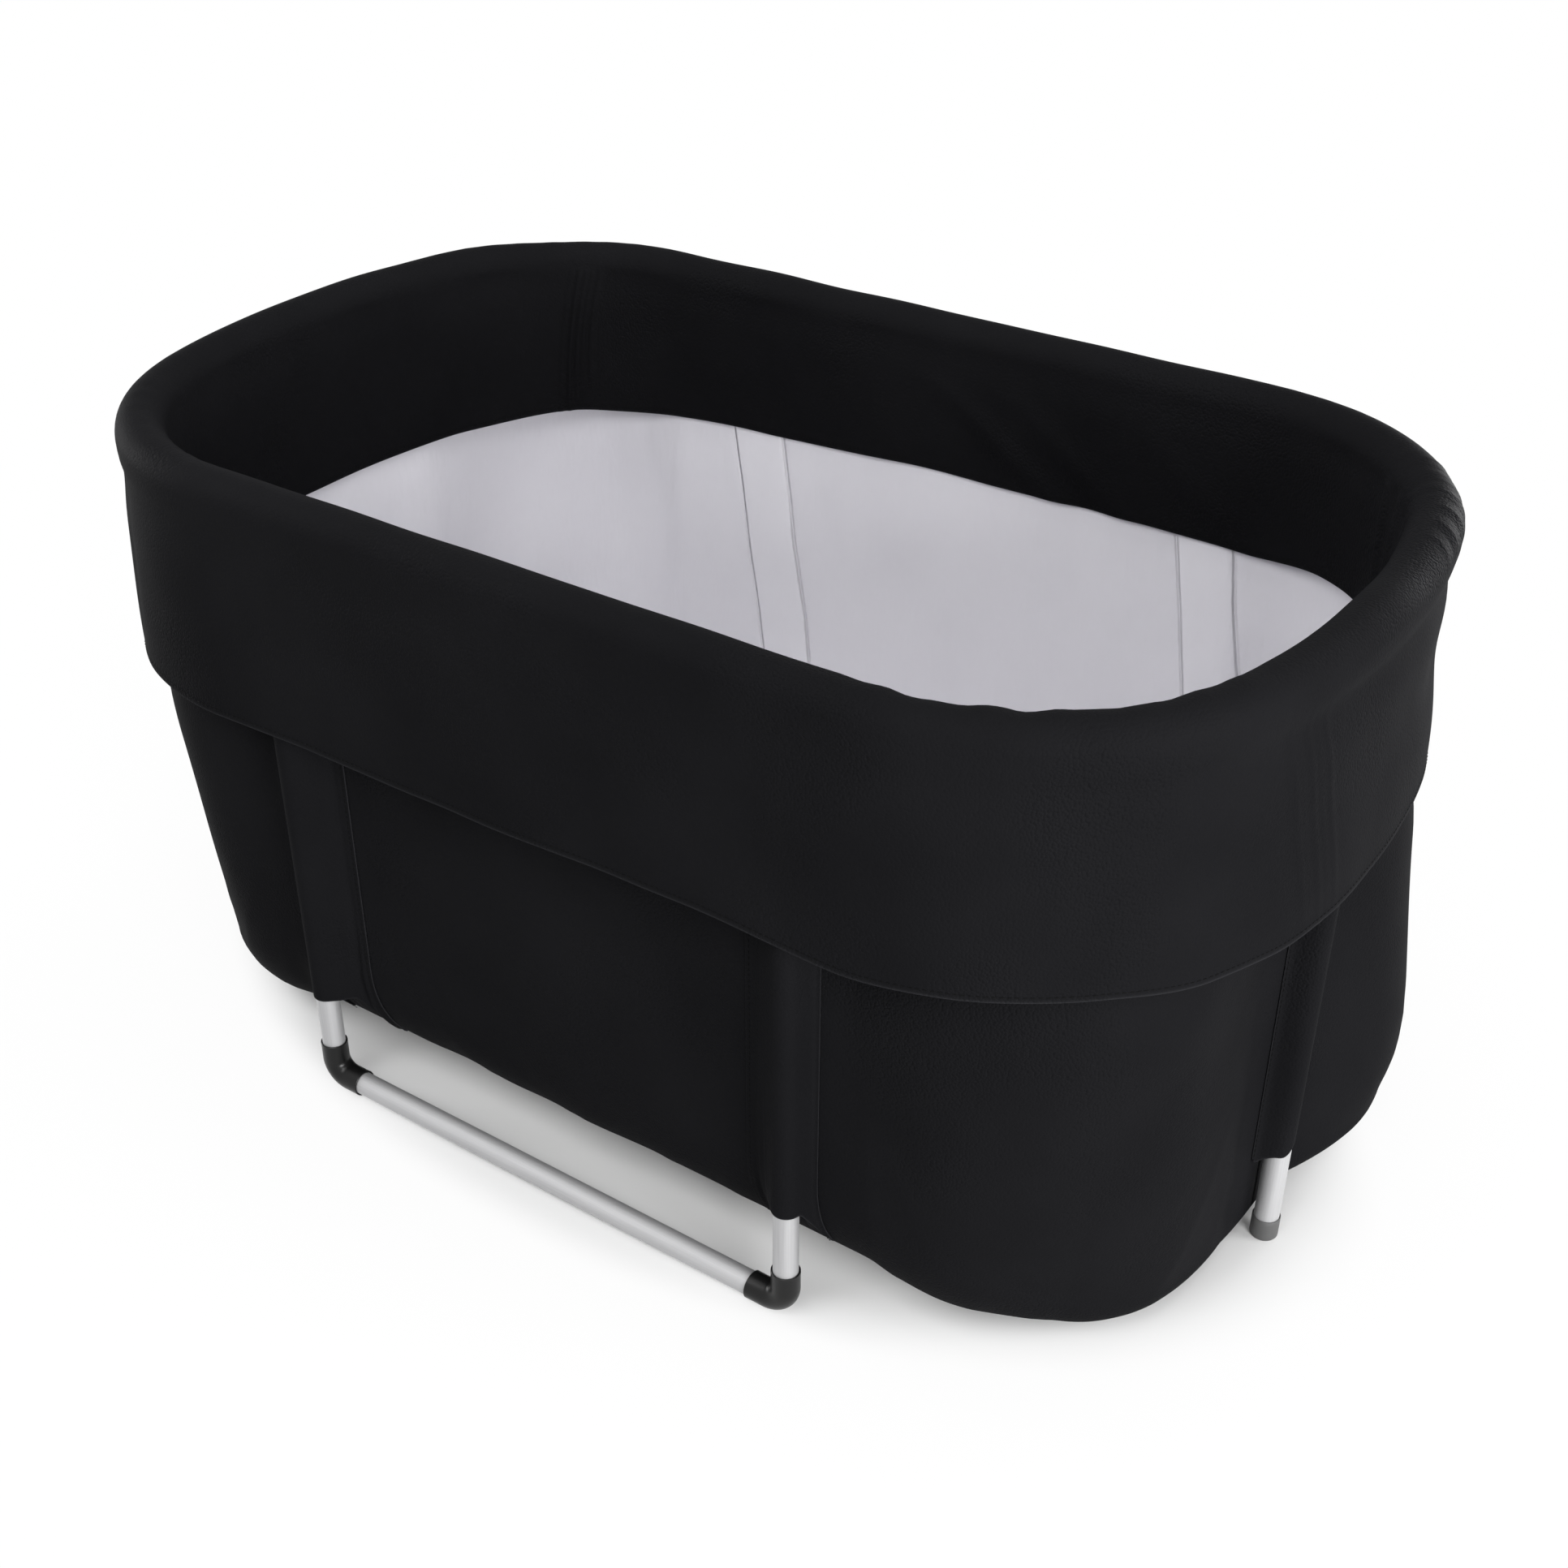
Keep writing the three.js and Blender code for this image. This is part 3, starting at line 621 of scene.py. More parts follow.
# %% Lay out the cover
COVER_THICKNESS = 0.0015
ROLL_RADIUS = 0.025
COLLAR_ROWS, ROLL_ROWS, BAND_ROWS = 30, 22, 24
CREASED = (
    (BACK + 0.455, BACK + 0.545), (0.695, 0.825), (RIGHT_END + 0.06, RIGHT_END + 0.33))
CREASED_STEP = 0.0026
COVER_STEP = 0.0075
HEM_FOLD = 0.0065
HEM_SWELL = 0.0007
HEM_RAMP = (HEM_FOLD + 0.0015, HEM_FOLD - 0.0015)
BAND_SLACK = 0.0027
WAIST_HEIGHT, WAIST_REACH = 0.565, 0.060
PINCH_DROP, PINCH_ABOVE, PINCH_BELOW = 0.031, 0.012, 0.030

collar_hems = [
    (0.0, 0.454), (-0.30, 0.452), (0.25, 0.455), (0.36, 0.452), (0.45, 0.457), (0.56, 0.457),
    (0.66, 0.450), (0.76, 0.441), (RIGHT_END, 0.440), (RIGHT_END + 0.30, 0.444), (BACK, 0.450),
    (BACK + 0.5, 0.450), (LEFT_END - 0.25, 0.452), (LEFT_END, 0.455), (LEFT_END + 0.28, 0.453),
]
collar_flares = [
    (0.0, 0.000), (-0.30, 0.000), (0.30, 0.000), (0.52, 0.001), (0.72, 0.004),
    (RIGHT_END, 0.006), (RIGHT_END + 0.28, 0.008), (BACK - 0.3, 0.002), (BACK, 0.000),
    (BACK + 0.3, 0.002), (LEFT_END - 0.25, 0.008), (LEFT_END, 0.010), (LEFT_END + 0.28, 0.008),
]
collar_pinches = [
    (0.0, 0.0025), (0.40, 0.0030), (0.65, 0.0045), (RIGHT_END - 0.05, 0.0070),
    (RIGHT_END + 0.30, 0.0060), (BACK - 0.2, 0.0030), (BACK + 0.3, 0.0030),
    (LEFT_END - 0.2, 0.0035), (LEFT_END, 0.0040), (LEFT_END + 0.35, 0.0030),
]
collar_waists = [
    (0.0, 0.000), (0.50, 0.001), (0.75, 0.003), (RIGHT_END, 0.005), (RIGHT_END + 0.25, 0.008),
    (RIGHT_END + 0.45, 0.004), (BACK, 0.000), (LEFT_END - 0.3, 0.001), (LEFT_END, 0.001),
]
band_hems = [
    (0.0, 0.532), (0.45, 0.534), (RIGHT_END, 0.540), (RIGHT_END + 0.30, 0.550),
    (BACK - 0.48, 0.549), (BACK - 0.38, 0.541), (BACK - 0.24, 0.543), (BACK, 0.540),
    (BACK + 0.24, 0.529), (BACK + 0.48, 0.513), (BACK + 0.66, 0.501), (LEFT_END, 0.500),
    (LEFT_END + 0.3, 0.512), (WHOLE - 0.30, 0.528),
]


def ring_stations(step, extra):
    """Distances round the hoop, even but for the extra ones."""
    even = np.arange(round(WHOLE / step)) * WHOLE / round(WHOLE / step)
    extra = np.unique(np.round(np.mod(np.array(extra), WHOLE), 5))
    far = [place for place in even if np.min(np.abs(apart(extra, place))) > step / 3]
    return np.sort(np.concatenate([far, extra]))


def cover_grid():
    finer = [place for low, high in CREASED for place in np.arange(low, high, CREASED_STEP)]
    along = ring_stations(COVER_STEP, finer)[:, None]
    collar_hem = round_hoop(along, collar_hems)
    band_hem = round_hoop(along, band_hems)
    down = np.linspace(0, 1, COLLAR_ROWS)[None, ::-1]
    collar_up = HOOP_HEIGHT + (collar_hem - HOOP_HEIGHT) * down
    flare = round_hoop(along, collar_flares)
    hang = ramp(collar_up, HOOP_HEIGHT, collar_hem)
    from_waist = (collar_up - WAIST_HEIGHT) / WAIST_REACH
    waist = round_hoop(along, collar_waists) * np.exp(-(from_waist**2))
    from_pinch = collar_up - HOOP_HEIGHT + PINCH_DROP
    from_pinch = from_pinch / np.where(from_pinch > 0, PINCH_ABOVE, PINCH_BELOW)
    pinch = round_hoop(along, collar_pinches) * np.exp(-(from_pinch**2))
    collar_out = ROLL_RADIUS + flare * hang - pinch - waist
    turn = np.linspace(0, math.pi, ROLL_ROWS + 2)[None, 1:-1]
    roll_out = np.broadcast_to(ROLL_RADIUS * np.cos(turn), (len(along), ROLL_ROWS))
    roll_up = np.broadcast_to(HOOP_HEIGHT + ROLL_RADIUS * np.sin(turn), roll_out.shape)
    fall = np.linspace(0, 1, BAND_ROWS)[None, :]
    band_up = HOOP_HEIGHT + (band_hem - HOOP_HEIGHT) * fall
    band_out = -ROLL_RADIUS - BAND_SLACK * ramp(fall, 0, 0.25)
    offsets = np.concatenate([collar_out, roll_out, np.broadcast_to(band_out, band_up.shape)], 1)
    heights = np.concatenate([collar_up, roll_up, band_up], 1)
    return along, offsets, heights


along, cover_offsets, cover_heights = cover_grid()
print("cover grid", cover_offsets.shape)

# %% [markdown]
# The folds are placed where the real cover shows them: fine upright creases in the
# inner band at the back left corner, slack leaning folds in the band at the back and
# the right end, short wrinkles in the roll at the corners, and long soft dents with a
# few creases in the collar. Each hem is a double fold, so it stands out a little.

# %% Fold and hem the cover
BAND_LOOSENESS = 0.0016
WRINKLE_DEPTH = 0.0009
PULL_DEPTH = 0.0013
DEEPEST_FOLD = -0.0008

in_roll = np.zeros(cover_offsets.shape)
in_roll[:, COLLAR_ROWS:COLLAR_ROWS + ROLL_ROWS] = 1
in_collar = np.zeros(cover_offsets.shape)
in_collar[:, :COLLAR_ROWS] = 1
in_band = 1 - in_roll - in_collar
section_turn = np.arctan2(cover_heights - HOOP_HEIGHT, cover_offsets)


def corner_share(place):
    """1 in the tight corners of the hoop and 0 on the straight sides."""
    near = np.mod(place, 2 * QUARTER)
    near = np.minimum(near, 2 * QUARTER - near)
    past_arc = near - CORNER_X - CORNER_ARC
    return ramp(near - CORNER_X, -0.03, 0.05) * ramp(past_arc, 0.05, -0.05)


def cover_folds():
    inner_side = ramp(section_turn, 0.7, 1.9) * in_roll
    near = ramp(along, 0.30, 0.40) * ramp(along, 0.73, 0.63)
    low = ramp(cover_heights, HOOP_HEIGHT, HOOP_HEIGHT - 0.10)
    waves = (  # stretch upwards, wavelength, waves, where, height
        (1.2, 0.028, 7, corner_share(along) * inner_side, 0.0003),  # corner puckers
        (0.4, 0.060, 5, near * inner_side, 0.0017),  # scallops beside the near corner
        (1.0, 0.160, 6, in_roll, 0.0006),  # swell of the roll
        (1.0, 0.420, 7, low * in_collar, 0.0022),  # dents of the collar
        (0.6, 0.130, 7, low * in_collar, 0.0007),  # ripples of the collar
    )
    total = sum(
        swells(along, cover_heights * stretch, wavelength, count) * where * height
        for stretch, wavelength, count, where, height in waves
    )
    slack = 1 + swells(along, cover_heights * 0.8, 0.24, 7)
    return total + slack * low * in_band * BAND_LOOSENESS


def crease_row(where, up, creases, low, high, width, lean=0.0, bend=0.0):
    """Creases of one kind, each given by its distance round the hoop and its depth."""
    return where * sum(
        crease(along, up, place, low, high, depth, width, lean, bend)
        for place, depth in creases
    )


def cover_creases():
    """Fine creases and the slack bulge of the band, then those of the roll and the collar."""
    total = 0
    for shift, depth in (
        (0.000, 0.0068), (0.009, 0.0060), (0.017, 0.0054), (0.027, 0.0040), (-0.010, 0.0024),
    ):
        fine, low = [(BACK + 0.492 - shift, depth)], 0.505 + shift
        total += crease_row(
            in_band, cover_heights, fine, low, high=0.69, width=0.0031, lean=-0.14, bend=0.006)
    leaning = [(0.10, 0.0034), (0.16, 0.0028), (0.22, 0.0034), (0.27, 0.0042), (0.31, 0.0046)]
    leaning = [(RIGHT_END + place, depth) for place, depth in leaning]
    total += crease_row(
        in_band, cover_heights, leaning, low=0.53, high=0.69, width=0.0075, lean=0.25)
    for place, lean, depth in (
        (BACK + 0.012, 1.5, 0.0052), (BACK - 0.088, 1.3, 0.0044), (BACK - 0.24, 1.2, 0.0030),
    ):
        total += crease_row(
            in_band, cover_heights, [(place, depth)], low=0.52, high=0.65, width=0.024, lean=lean)
    wrinkles = [
        (0.132, 0.8), (0.149, -1.0), (0.163, 1.1), (0.181, -0.9), (0.196, 1.2),
        (0.214, -0.8), (0.232, 1.0), (0.256, 0.7), (0.281, -0.8), (0.304, 0.8),
    ]
    wrinkles = [(RIGHT_END + place, share * WRINKLE_DEPTH) for place, share in wrinkles]
    total += crease_row(
        in_roll, section_turn, wrinkles, low=0.15, high=1.65, width=0.0042, lean=0.010)
    pulled = [(0.712, 1.0), (0.722, 0.7), (0.735, 1.2), (0.748, 0.8), (0.760, 1.1)]
    pulled = [(place, share * PULL_DEPTH) for place, share in pulled]
    total += crease_row(
        in_collar, cover_heights, pulled, low=0.435, high=0.67, width=0.0048, lean=-0.25)
    faint = [(-0.52, 0.0010), (-0.50, -0.0009), (0.30, 0.0008), (-0.27, 0.0008)]
    total += crease_row(
        in_collar, cover_heights, faint, low=0.45, high=0.65, width=0.0090, lean=0.04)
    return np.where(in_band > 0, np.maximum(total, DEEPEST_FOLD), total)


def cover_hems():
    """The two double folds at the ends of the strip, as a step in its thickness."""
    return HEM_SWELL * sum(
        ramp(cover_heights - cover_heights[:, end], *HEM_RAMP) * where
        for end, where in (([0], in_collar), ([-1], in_band))
    )


print("cover rows", COLLAR_ROWS + ROLL_ROWS + BAND_ROWS)

# %% Close the cover
cover_flat = hoop_points(along[:, 0], cover_offsets, cover_heights)
cover_normals = grid_normals(cover_flat, True)
cover_relief = cover_folds() + cover_creases() + cover_hems()
cover_shape = cover_flat + cover_normals * cover_relief[..., None]
rim_cover = cloth("rim_and_skirts", cover_shape, COVER_THICKNESS, coated_fabric, True)
cover_area = grid_area(cover_shape, True)
print("cover", len(rim_cover.data.polygons), "faces,", round(cover_area, 3), "m2")

# %% Join the cover to the frame
join(rim_cover, TOP, "rim_cover")
round(cover_area / WHOLE, 3)

# %% [markdown]
# ## The shape of the bag
# The bag hangs from the rim and is sewn to the leg sleeves, so it is straight at the
# legs and bulges between them round the corners. Its lower edge turns under in a wide
# curve along the sides and a tight one at the ends. Outer fabric, foam and liner all
# follow one surface, so one function gives that surface at any depth.

# %% Work out the bag's faces
BAG_PULL_IN = 0.017
BAG_TOP = 0.655
BAG_BOTTOM = 0.0017
SIDE_BOTTOM_RADIUS = 0.164
END_BOTTOM_RADIUS = 0.028
SLEEVE_ZONE = 0.062
DRAIN_ZONE = 0.150
LOBE_DEPTH = 0.080
SOFTEN_ALONG = ((-0.014, 0.25), (0, 0.5), (0.014, 0.25))
SOFTEN_UP = (-0.030, -0.015, 0, 0.015, 0.030)
CORNER_FULLNESS = 0.013
CORNER_HOLLOW = 0.010
SEAM_LAP = 0.008
LOBE_HEIGHTS = np.array([0.035, 0.085, 0.2, 0.31, 0.45, 0.58, 0.65, 1]) * BAG_TOP
LOBES = {
    "front_right": [-0.22, -0.05, 0.1, 0.22, 0.34, 0.44, 0.44, 0],
    "back_right": [0.9, 1.14, 1.11, 0.98, 0.81, 0.68, 0.48, 0],
    "back_left": [0, 0.04, 0.15, 0.26, 0.36, 0.46, 0.44, 0],
    "front_left": [0, 0.04, 0.15, 0.26, 0.36, 0.46, 0.44, 0],
}
CAD_POWERS = {"front_right": 0.7, "back_right": 0.55, "back_left": 0.6, "front_left": 0.6}
TURN_POWERS = {**CAD_POWERS, "back_right": 0.34}
bay_names = ["front", "front_right", "back_right", "back", "back_left", "front_left"]
bay_ends = [*LEG_PLACES.values(), WHOLE - SIDE_LEG]
BAYS = dict(zip(bay_names, zip(bay_ends, bay_ends[1:])))


def bay_share(along, bay):
    """The share of the way round a corner, 0 at the side leg's sleeve and 1 near the end leg."""
    low, high = BAYS[bay]
    where = np.mod(along, WHOLE)
    past = where - low if bay in ("front_right", "back_left") else high - where
    zone = DRAIN_ZONE if bay == "back_left" else SLEEVE_ZONE
    share = np.clip((past - SLEEVE_ZONE) / (high - low - SLEEVE_ZONE - zone), 0, 1)
    return np.where((where >= low) & (where <= high), share, 0.0)


def lobe(along, heights):
    """How far the bag stands outside its straight line."""
    total = np.zeros(np.broadcast(along, heights).shape)
    for bay, depths in LOBES.items():
        swell = sum(
            weight * np.sin(math.pi * bay_share(along + shift, bay))
            for shift, weight in SOFTEN_ALONG)
        depth = sum(np.interp(heights + shift, LOBE_HEIGHTS, depths) for shift in SOFTEN_UP)
        total = total + swell * LOBE_DEPTH * depth / len(SOFTEN_UP)
    share = bay_share(along, "front_right")
    low = ramp(heights, 0.34, 0.09)
    full = np.maximum(np.sin(2 * math.pi * (share - 0.5)), 0) * (share > 0.5)
    drawn_in = np.sin(math.pi * np.clip((share - 0.04) / 0.56, 0, 1)) ** 2
    near_floor = ramp(heights, 0.20, 0.05)
    return total + full * low * CORNER_FULLNESS - drawn_in * near_floor * CORNER_HOLLOW


def bottom_radius(along, powers=TURN_POWERS):
    """The radius of the bag's turn into its floor, wide at the sides and tight at the ends."""
    tightness = sum(
        (1 - np.cos(math.pi * bay_share(along, bay) ** powers[bay])) / 2 for bay in LOBES)
    for end in (LEFT_END, RIGHT_END):
        tightness = np.where(np.abs(apart(along, end)) < SLEEVE_ZONE, 1.0, tightness)
    return SIDE_BOTTOM_RADIUS + (END_BOTTOM_RADIUS - SIDE_BOTTOM_RADIUS) * tightness


WALL_ROWS, TURN_ROWS = 46, 16


def bag_face(along, depth):
    """Offsets and heights from the floor's edge up to the top, at a depth from the outer face."""
    column = along[:, None]
    radius = bottom_radius(column)
    turn_height = BAG_BOTTOM + radius
    angle = np.linspace(math.pi / 2, 0, TURN_ROWS + 1)[None, :-1]
    centre = lobe(column, turn_height) - BAG_PULL_IN - radius
    turn_out = centre + (radius - depth) * np.cos(angle)
    turn_up = turn_height - (radius - depth) * np.sin(angle)
    rise = np.linspace(0, 1, WALL_ROWS)[None, :]
    wall_up = turn_height + (BAG_TOP - turn_height) * rise
    wall_out = lobe(column, wall_up) - BAG_PULL_IN - depth
    seam_radius = bottom_radius(column, CAD_POWERS)
    seam_out = turn_out[:, :1] - np.maximum(seam_radius - radius, 0) - SEAM_LAP
    offsets = np.concatenate([seam_out, turn_out, wall_out], 1)
    return offsets, np.concatenate([turn_up[:, :1], turn_up, wall_up], 1)


print("bag bottom radius at the front", round(float(bottom_radius(np.array([0.0]))[0]), 3))

# %% [markdown]
# ## The outer panels of the bag
# Six panels, one in each bay between two legs, meet under the leg sleeves. The fabric
# is soft and hangs full, so it gets broad swells, and short gathers low down where it
# is pulled towards a leg.

# %% Sew the outer panels
FABRIC_THICKNESS = 0.0016
PANEL_STEP = 0.0065
PANEL_GAP = 0.00015
SWELL_HEIGHT = 0.0007
QUIET_REACH = (0.045, 0.095)
# Every gather: distance from its leg, lean, depth.
GATHERS = ((0.074, 0.10, 0.0006), (0.090, 0.45, 0.0008), (0.110, 0.9, 0.0006))


def quiet_at_legs(along):
    """0 beside every leg, where the panels are sewn down, and 1 away from it."""
    quiet = np.ones(np.shape(along))
    for place in LEG_PLACES.values():
        quiet = quiet * ramp(np.abs(apart(along, place)), *QUIET_REACH)
    return quiet


SWELLS = ((9, 7.0), (14, -9.0), (23, 12.0), (31, 5.0))  # turns round the hoop, slope
swell_seeds = folds.uniform(0, 1, len(SWELLS))


def bag_swell(along, heights):
    """Slow swells of the bag wall, the same for every layer so that none cuts another."""
    waves = np.zeros(np.broadcast(along, heights).shape)
    for (turns, slope), seed in zip(SWELLS, swell_seeds):
        round_way = 2 * math.pi * (turns * along / WHOLE + seed)
        waves = waves + np.sin(round_way + slope * heights)
    fading = ramp(heights, 0.012, 0.062) * ramp(heights, 0.48, 0.38)
    return waves * SWELL_HEIGHT * quiet_at_legs(along) * fading


def bag_layer(stations, depth):
    """The points of one layer of the bag, at a depth from its outer face."""
    offsets, heights = bag_face(stations, depth)
    return hoop_points(stations, offsets + bag_swell(stations[:, None], heights), heights)


def leg_gathers(along, heights):
    """Short creases that run down and away from each leg's lower end."""
    total = np.zeros(np.broadcast(along, heights).shape)
    for place in LEG_PLACES.values():
        for side in (-1, 1):
            for start, lean, depth in GATHERS:
                total = total + crease(
                    along, heights, place + side * start, 0.02, 0.26, depth, 0.009, -side * lean)
    return total * ramp(heights, 0.004, 0.034)


def outer_panel(bay, low, high):
    count = max(12, round((high - low) / PANEL_STEP))
    stations = np.linspace(low + PANEL_GAP, high - PANEL_GAP, count)
    grid = bag_layer(stations, 0)
    gathers = leg_gathers(stations[:, None], grid[..., 2])
    grid = grid + grid_normals(grid, False) * gathers[..., None]
    panel = cloth(f"bag_panel_{bay}", grid, FABRIC_THICKNESS, coated_fabric, False)
    return panel, grid


bag_panels = {}
for bay, (low, high) in BAYS.items():
    panel, grid = outer_panel(bay, low, high)
    area = grid_area(grid, False)
    bag_panels[bay] = panel
    join(panel, TOP, f"wall_panel_{bay}")
    round(area / (high - low), 3)
    round(high - low, 3)
    print("panel", bay, len(panel.data.polygons), "faces,", round(area, 3), "m2")

# %% [markdown]
# ## Foam and liner
# A thin white foam lies behind the outer fabric, and the light liner inside it holds
# the water. The liner is welded from panels, and where they lap each other a wide band
# stands slightly proud between two grooves. The bands lean a little, because the liner
# is a loose bag. Its floor is one flat face inside the wall's lowest ring.

# %% Build the foam layer and the liner
FOAM_DEPTH = 0.0019
FOAM_THICKNESS = 0.0040
LINER_DEPTH = 0.0062
LINER_THICKNESS = 0.0014
LINER_STEP = 0.0075
LAP_STEP = 0.0008
LAP_STATION = 0.0032
LAP_GROOVE = 0.0015
LAP_RAMP, GROOVE_WIDTH = 0.003, 0.003
CRINKLE_HEIGHT = 0.0016
FOAM_STATIONS = round(WHOLE / 0.012)


def insulation_piece():
    stations = np.arange(FOAM_STATIONS) * WHOLE / FOAM_STATIONS
    return cloth("bag_foam", bag_layer(stations, FOAM_DEPTH), FOAM_THICKNESS, white_foam, True)


def lap_bands(x, height):
    """Height of the lapped bands above the liner's wall, with a groove along both edges."""
    total = np.zeros(x.shape)
    upright = x + (height - LAP_HEIGHT) * LAP_LEAN
    for left, right in LAP_EDGES.values():
        inside = ramp(upright - left, -LAP_RAMP, LAP_RAMP)
        inside = inside * ramp(upright - right, LAP_RAMP, -LAP_RAMP)
        edges = sum(np.exp(-(((upright - edge) / GROOVE_WIDTH) ** 2)) for edge in (left, right))
        total = total + inside * LAP_STEP - edges * LAP_GROOVE
    return total * ramp(height, 0.03, 0.09)


def liner_stations():
    """Distances round the hoop for the liner, closer together where a lap crosses."""
    finer = []
    for left, right in LAP_EDGES.values():
        back_run = np.arange(left - 0.012, right + 0.095, LAP_STATION)
        finer += list(2 * QUARTER - back_run) + list(back_run)
    return ring_stations(LINER_STEP, finer)


def liner_skin(stations):
    """Outer and inner faces of the liner's wall."""
    outer = bag_layer(stations, LINER_DEPTH)
    inner = bag_layer(stations, LINER_DEPTH + LINER_THICKNESS)
    towards = -grid_normals(inner, True)
    raised = lap_bands(inner[..., 0], inner[..., 2])
    slack = ramp(inner[..., 2], 0.50, 0.30) * ramp(inner[..., 2], 0.02, 0.10)
    crinkle = swells(stations[:, None], inner[..., 2], 0.19, 8) * CRINKLE_HEIGHT * slack
    inner = inner + towards * (raised + crinkle * (crinkle > 0))[..., None]
    return outer, inner


def liner_piece():
    """Wall rings from the outer face over the top to the inner face, and two flat floors."""
    outer, inner = liner_skin(liner_stations())
    rings = np.concatenate([outer, inner[:, ::-1]], 1)
    count, size = rings.shape[:2]
    index = np.arange(count * size).reshape(count, size)
    lower, upper = index[:, :-1], index[:, 1:]
    quads = np.stack([lower, np.roll(lower, -1, 0), np.roll(upper, -1, 0), upper], -1)
    faces = quads.reshape(-1, 4).tolist() + [index[:, -1].tolist(), index[::-1, 0].tolist()]
    made = piece_from("liner_bag", rings.reshape(-1, 3), faces, liner_film)
    edge = inner[:, 0, :2]
    floor = float(np.abs(np.cross(edge, np.roll(edge, -1, 0)).sum()) / 2)
    return made, grid_area(inner, True) + floor


bag_foam = insulation_piece()
join(bag_foam, TOP, "wall_insulation")
liner_bag, liner_area = liner_piece()
join(liner_bag, TOP, "liner")
print("liner", len(liner_bag.data.polygons), "faces,", round(liner_area, 3), "m2")

# %% [markdown]
# ## The leg sleeves
# Each leg slides down through a strip that is sewn flat to the bag on both sides and
# bowed over the tube. Beside the side legs the strip is wide towards the middle of the
# tub, and that slack part lies in long soft folds. The strip is open at the bottom,
# where the leg comes out, and follows the wall of the bag behind it.

# %% Bow the sleeves over the legs
SLEEVE_THICKNESS = 0.0015
SLEEVE_LIFT = 0.00165
SLEEVE_BOW = 0.0147
SLEEVE_TOP = 0.636
SLEEVE_ROWS = 90
SLEEVE_STEP = 0.0013
SOFT_STEPS = 12
SEWN_WIDE, SEWN_NARROW = 0.056, 0.024
SLACK_FOOT, TIGHT_FOOT = 0.043, 0.0195
WIDE = (SLACK_FOOT, SEWN_WIDE)
NARROW = (TIGHT_FOOT, SEWN_NARROW)
SLEEVES = {  # the side before the tube, the side after it, mouth height, mouth slant
    "front_left": (NARROW, WIDE, 0.120, 0.0),
    "front_right": (WIDE, NARROW, 0.134, 0.0),
    "right_end": (NARROW, NARROW, 0.122, 1.05),
    "back_right": (NARROW, WIDE, 0.120, 0.0),
    "back_left": (WIDE, NARROW, 0.120, 0.0),
    "left_end": (NARROW, NARROW, 0.122, -1.05),
}
MOUTH_DROP = 0.016
WING_DROP = 0.062
DRAWN_FOOT = 0.037
FOLD_PITCH, FOLD_HEIGHT = 0.0150, 0.0011


def half_sleeve(foot, sewn):
    """One side of the strip's cross-section: from its sewn edge up to the top of the tube."""
    reach, rise = foot, BAG_PULL_IN - SLEEVE_LIFT
    slope = math.atan2(rise, reach) + math.asin(SLEEVE_BOW / math.hypot(reach, rise))
    arc = np.linspace(slope, 0, 14)
    over = np.stack([SLEEVE_BOW * np.sin(arc), BAG_PULL_IN + SLEEVE_BOW * np.cos(arc)], 1)
    flat = np.array([(sewn, SLEEVE_LIFT), (foot, SLEEVE_LIFT)])
    return np.concatenate([flat, over])


def sleeve_profile(before, after):
    """The strip's cross-section as even points (across, height), softened at its feet."""
    left = half_sleeve(*before) * (-1, 1)
    right = half_sleeve(*after)[::-1][1:]
    corners = np.concatenate([left, right])
    travelled = np.concatenate([[0], np.cumsum(np.linalg.norm(np.diff(corners, axis=0), axis=1))])
    even = np.linspace(0, travelled[-1], round((before[1] + after[1]) / SLEEVE_STEP * 1.4))
    line = np.stack([np.interp(even, travelled, corners[:, axis]) for axis in (0, 1)], 1)
    for _ in range(SOFT_STEPS):
        line[1:-1] = (line[:-2] + 2 * line[1:-1] + line[2:]) / 4
    return line


def sleeve_grid(leg):
    before, after, mouth, slant = SLEEVES[leg]
    rise = np.linspace(0, 1, SLEEVE_ROWS)
    lines = []
    for share in rise:
        drawn = ramp(share * (SLEEVE_TOP - mouth), 0, 0.16)
        feet = [
            (foot + (min(foot, DRAWN_FOOT) - foot) * (1 - drawn), sewn)
            for foot, sewn in (before, after)
        ]
        lines.append(sleeve_profile(*feet))
    lines = np.stack(lines, 1)
    across, lift = lines[..., 0], lines[..., 1]
    on_tube = np.clip(across, -TUBE_RADIUS, TUBE_RADIUS)
    eased = on_tube * (1.5 - 0.5 * (on_tube / TUBE_RADIUS) ** 2) / 1.5
    reach = np.abs(across)
    sewn = np.where(across < 0, before[1], after[1])
    narrow_drop = ramp(reach, 0.0150, 0.0225)
    wide_drop = np.where(sewn > SEWN_NARROW, ramp(reach, 0.030, 0.046), narrow_drop)
    end_drop = ramp(reach, 0.0135, 0.0235) * ramp(reach - sewn, 0.0024, -0.0056)
    drop = end_drop * MOUTH_DROP if slant else wide_drop * WING_DROP
    low = mouth + slant * 1.25 * eased - drop
    heights = low + (SLEEVE_TOP - low) * rise[None, :]
    radius = bottom_radius(np.array([LEG_PLACES[leg]]))[0]
    below = np.clip(BAG_BOTTOM + radius - heights, 0, radius)
    recess = radius - np.sqrt(radius**2 - below**2)
    held = ramp(lift - SLEEVE_LIFT, BAG_PULL_IN, 0)
    folds_out = sleeve_folds(across, heights, before[1], after[1])
    offsets = lift - BAG_PULL_IN - recess * held + folds_out
    return np.stack([
        hoop_points(LEG_PLACES[leg] + across[:, row], offsets[:, [row]], heights[:, [row]])[:, 0]
        for row in range(SLEEVE_ROWS)
    ], 1)


